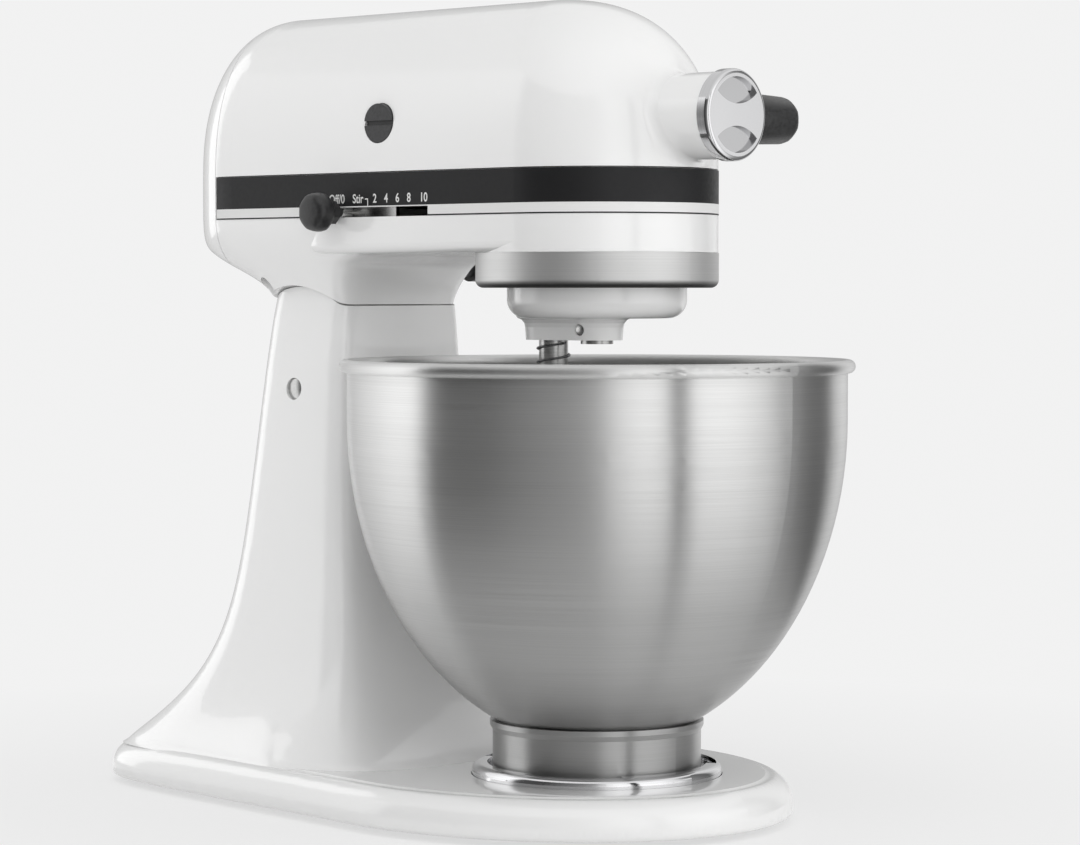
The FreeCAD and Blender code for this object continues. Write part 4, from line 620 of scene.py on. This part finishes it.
# Hub cap: a chromium-plated cover over the attachment hub. Two hollows for finger and thumb leave
# a waisted bar across its face, and the hollows' colour is dimmed as a painted shade.
cap_low, cap_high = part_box("hub_cap")
hub_centre = Vector((0.0, 0.0, (cap_low.z + cap_high.z) / 2))
hollow_painted_shade_share = 0.78
hollow_depth = 0.0008
bar_depth = 0.0003
hub_chrome = polished_chrome("hub_chrome", hub_centre, per_metre=(2500.0, 12.0, 12.0))
# Painted shade: the colour is dimmed in the hollows, below the bar's face.
wear(with_painted_shade(hub_chrome, "X", hollow_painted_shade_share, cap_high.x - hollow_depth, cap_high.x - bar_depth),
     "hub_cap")

# Studio: a pale floor that runs into a pale background, with broad soft lamps overhead, in front
# and to the right. A small lamp in the bowl adds to the light that it throws up at the head.
pale = (0.885, 0.885, 0.885, 1.0)
floor_radius = 6.0
round_sides = 96
shadow_near = 0.2
shadow_far = 0.5
shadow_share = 0.28
room_light = 0.72


def glimpsed(tree):
    """One for rays that see the background: from the camera, mirrored or through glass."""
    path = tree.nodes.new("ShaderNodeLightPath")
    first = tree.nodes.new("ShaderNodeMath")
    first.operation = "MAXIMUM"
    tree.links.new(path.outputs["Is Camera Ray"], first.inputs[0])
    tree.links.new(path.outputs["Is Glossy Ray"], first.inputs[1])
    second = tree.nodes.new("ShaderNodeMath")
    second.operation = "MAXIMUM"
    tree.links.new(first.outputs["Value"], second.inputs[0])
    tree.links.new(path.outputs["Is Transmission Ray"], second.inputs[1])
    return second.outputs["Value"]


def floor_paint():
    """Pale paper that fades into the background away from the mixer and keeps its shadow near
    it."""
    material = bpy.data.materials.new("floor_paint")
    material.use_nodes = True
    tree = material.node_tree
    tree.nodes.clear()
    paper = tree.nodes.new("ShaderNodeBsdfDiffuse")
    paper.inputs["Color"].default_value = pale
    glow = tree.nodes.new("ShaderNodeEmission")
    glow.inputs["Color"].default_value = pale
    place = tree.nodes.new("ShaderNodeTexCoord").outputs["Object"]
    length = tree.nodes.new("ShaderNodeVectorMath")
    length.operation = "LENGTH"
    tree.links.new(place, length.inputs[0])
    fade = between(tree, length.outputs["Value"], 1 - shadow_share, 1.0, shadow_near, shadow_far)
    seen = tree.nodes.new("ShaderNodeMath")
    seen.operation = "MULTIPLY"
    tree.links.new(fade, seen.inputs[0])
    tree.links.new(glimpsed(tree), seen.inputs[1])
    mix = tree.nodes.new("ShaderNodeMixShader")
    tree.links.new(seen.outputs["Value"], mix.inputs["Fac"])
    tree.links.new(paper.outputs["BSDF"], mix.inputs[1])
    tree.links.new(glow.outputs["Emission"], mix.inputs[2])
    output = tree.nodes.new("ShaderNodeOutputMaterial")
    tree.links.new(mix.outputs["Shader"], output.inputs["Surface"])
    return material


bpy.ops.mesh.primitive_circle_add(vertices=round_sides, radius=floor_radius, fill_type="NGON")
floor = bpy.context.object
floor.name = "floor"
floor.data.materials.append(floor_paint())

world = bpy.data.worlds.new("studio")
world.use_nodes = True
bpy.context.scene.world = world
sky = world.node_tree
backdrop = sky.nodes["Background"]
backdrop.inputs["Color"].default_value = pale
strength = between(sky, glimpsed(sky), room_light, 1.0, low_at=0.0, high_at=1.0)
sky.links.new(strength, backdrop.inputs["Strength"])

camera_turn = math.radians(42.0)
to_camera = Vector((math.sin(camera_turn), -math.cos(camera_turn), 0.0))
to_right = Vector((math.cos(camera_turn), math.sin(camera_turn), 0.0))
middle = Vector((0.0, 0.0, 0.2))


def bearing(degrees):
    """A level direction, counted from the camera's side towards the right of the picture."""
    turn = math.radians(degrees)
    return to_camera * math.cos(turn) + to_right * math.sin(turn)


def around(degrees, distance, height):
    """A place round the bowl's axis."""
    return bowl_axis + bearing(degrees) * distance + Vector((0.0, 0.0, height))


def lamp(name, place, width, height, watts, aim=middle):
    """A soft box that faces the mixer's middle or another aim; mirrored rays don't see its
    outline."""
    bpy.ops.object.light_add(type="AREA", location=place)
    light = bpy.context.object
    light.name = name
    light.data.shape = "RECTANGLE"
    light.data.size = width
    light.data.size_y = height
    light.data.energy = watts
    light.rotation_euler = (aim - place).to_track_quat("-Z", "Y").to_euler()
    light.visible_glossy = False
    return light


lamp("overhead", around(-10.0, distance=0.9, height=1.7), width=1.5, height=1.2, watts=7.0)
lamp("front_box", around(0.0, distance=1.9, height=0.3), width=1.2, height=0.6, watts=4.5)
lamp("right_box", around(80.0, distance=1.7, height=0.5), width=1.0, height=1.0, watts=8.0)
lamp("bowl_bounce", around(15.0, distance=0.1, height=0.14), width=0.12, height=0.04, watts=0.09,
     aim=around(0.0, distance=0.0, height=0.22))

# Side panel: a tall bright panel to the left and behind, which the enamel alone mirrors, in long
# highlights on its rear edges.
panel_bearing = -124.0
panel_distance = 1.7
panel_height = 1.5
side_panel = lamp("side_panel", around(panel_bearing, panel_distance, panel_height / 2),
                  width=0.6, height=panel_height, watts=3.4)
side_panel.rotation_euler = (math.pi / 2, 0.0, camera_turn + math.radians(panel_bearing))
side_panel.visible_glossy = True
side_panel.visible_diffuse = False
side_panel.visible_camera = False
enamelled = bpy.data.collections.new("enamelled")
for name in castings:
    enamelled.objects.link(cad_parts[name])
side_panel.light_linking.receiver_collection = enamelled

# Screens: a ring of grey cloth round the floor, on the wall and on the outer floor, which only
# mirrored rays see. Its grey changes with the bearing, so the metal shows soft upright bands.
screen_radius = 2.0
screen_height = 1.6
screen_turn = (0.0, 0.0, camera_turn - math.pi / 2)
screen_strength = 1.4
floor_screen_inner = 0.27
floor_screen_lift = 0.002
floor_screen_rise = 0.001
screen_greys = ((-180, 0.3), (-157, 0.4), (-124, 0.7), (-104, 0.9), (-88, 0.95), (-79, 0.12),
                (-73, 0.06), (-48, 0.05), (-36, 0.09), (-13, 0.17), (-2, 0.26), (3, 0.42),
                (9, 0.72), (20, 0.93), (31, 0.88), (33, 0.02), (38, 0.02), (42, 0.95),
                (61, 0.93), (81, 0.68), (89, 0.45), (97, 0.2), (115, 0.12), (126, 0.1),
                (137, 0.5), (150, 0.6), (180, 0.3))


def screen_cloth():
    """A grey that changes round the ring."""
    material = bpy.data.materials.new("screen_cloth")
    material.use_nodes = True
    tree = material.node_tree
    tree.nodes.clear()
    turn = tree.nodes.new("ShaderNodeTexGradient")
    turn.gradient_type = "RADIAL"
    place = tree.nodes.new("ShaderNodeTexCoord").outputs["Object"]
    tree.links.new(place, turn.inputs["Vector"])
    ramp = tree.nodes.new("ShaderNodeValToRGB")
    for degrees, grey in screen_greys[1:-1]:
        ramp.color_ramp.elements.new((degrees + 180) / 360).color = (grey, grey, grey, 1.0)
    for end in (0, -1):
        grey = screen_greys[end][1]
        ramp.color_ramp.elements[end].color = (grey, grey, grey, 1.0)
    tree.links.new(turn.outputs["Fac"], ramp.inputs["Fac"])
    glow = tree.nodes.new("ShaderNodeEmission")
    glow.inputs["Strength"].default_value = screen_strength
    tree.links.new(ramp.outputs["Color"], glow.inputs["Color"])
    output = tree.nodes.new("ShaderNodeOutputMaterial")
    tree.links.new(glow.outputs["Emission"], output.inputs["Surface"])
    return material


def hang(panel, name, material):
    """Makes a studio panel of an object, which shows in mirrored rays alone."""
    panel.name = name
    panel.data.materials.append(material)
    panel.visible_camera = False
    panel.visible_diffuse = False
    panel.visible_shadow = False


cloth = screen_cloth()
bpy.ops.mesh.primitive_cylinder_add(vertices=round_sides, radius=screen_radius,
                                    depth=screen_height, end_fill_type="NOTHING",
                                    location=around(0.0, 0.0, screen_height / 2),
                                    rotation=screen_turn)
hang(bpy.context.object, "wall_screen", cloth)
bpy.ops.mesh.primitive_cone_add(vertices=round_sides, radius1=screen_radius,
                                radius2=floor_screen_inner, depth=floor_screen_rise,
                                end_fill_type="NOTHING",
                                location=around(0.0, 0.0, floor_screen_lift),
                                rotation=screen_turn)
hang(bpy.context.object, "floor_screen", cloth)

# Hub card: a small white card on the right, outside the picture, which the hub cap's flat face
# mirrors.
card_bearing = 96.0
card_distance = 0.8
card_size = 0.16
card_place = Vector((cap_high.x, 0.0, hub_centre.z)) + bearing(card_bearing) * card_distance
card_turn = (math.pi / 2, 0.0, camera_turn + math.radians(card_bearing))
bpy.ops.mesh.primitive_plane_add(size=card_size, location=card_place, rotation=card_turn)
card_paint = bpy.data.materials.new("card_paint")
card_paint.use_nodes = True
card_shader = card_paint.node_tree.nodes["Principled BSDF"]
card_shader.inputs["Base Color"].default_value = (0.0, 0.0, 0.0, 1.0)
card_shader.inputs["Emission Color"].default_value = pale
card_shader.inputs["Emission Strength"].default_value = 1.0
hang(bpy.context.object, "hub_card", card_paint)

# Camera: at the photograph's side and height, a little above the bowl's rim, with a long lens.
# Its aim follows from where the bowl's axis and the horizon stand in the picture.
picture_width = 1080.0
picture_height = 845.0
focal_pixels = 3372.0
camera_distance = 1.45
camera_height = 0.2285
axis_column = 597.0
horizon_row = 289.0
bpy.ops.object.camera_add(location=around(0.0, camera_distance, camera_height))
camera = bpy.context.object
tilt_down = math.atan2(picture_height / 2 - horizon_row, focal_pixels)
turn_left = math.atan2(axis_column - picture_width / 2, focal_pixels)
camera.rotation_euler = (math.pi / 2 - tilt_down, 0.0, camera_turn + turn_left)
camera.data.sensor_fit = "HORIZONTAL"
camera.data.lens = camera.data.sensor_width * focal_pixels / picture_width
bpy.context.scene.camera = camera
bpy.context.scene.view_settings.view_transform = "Standard"
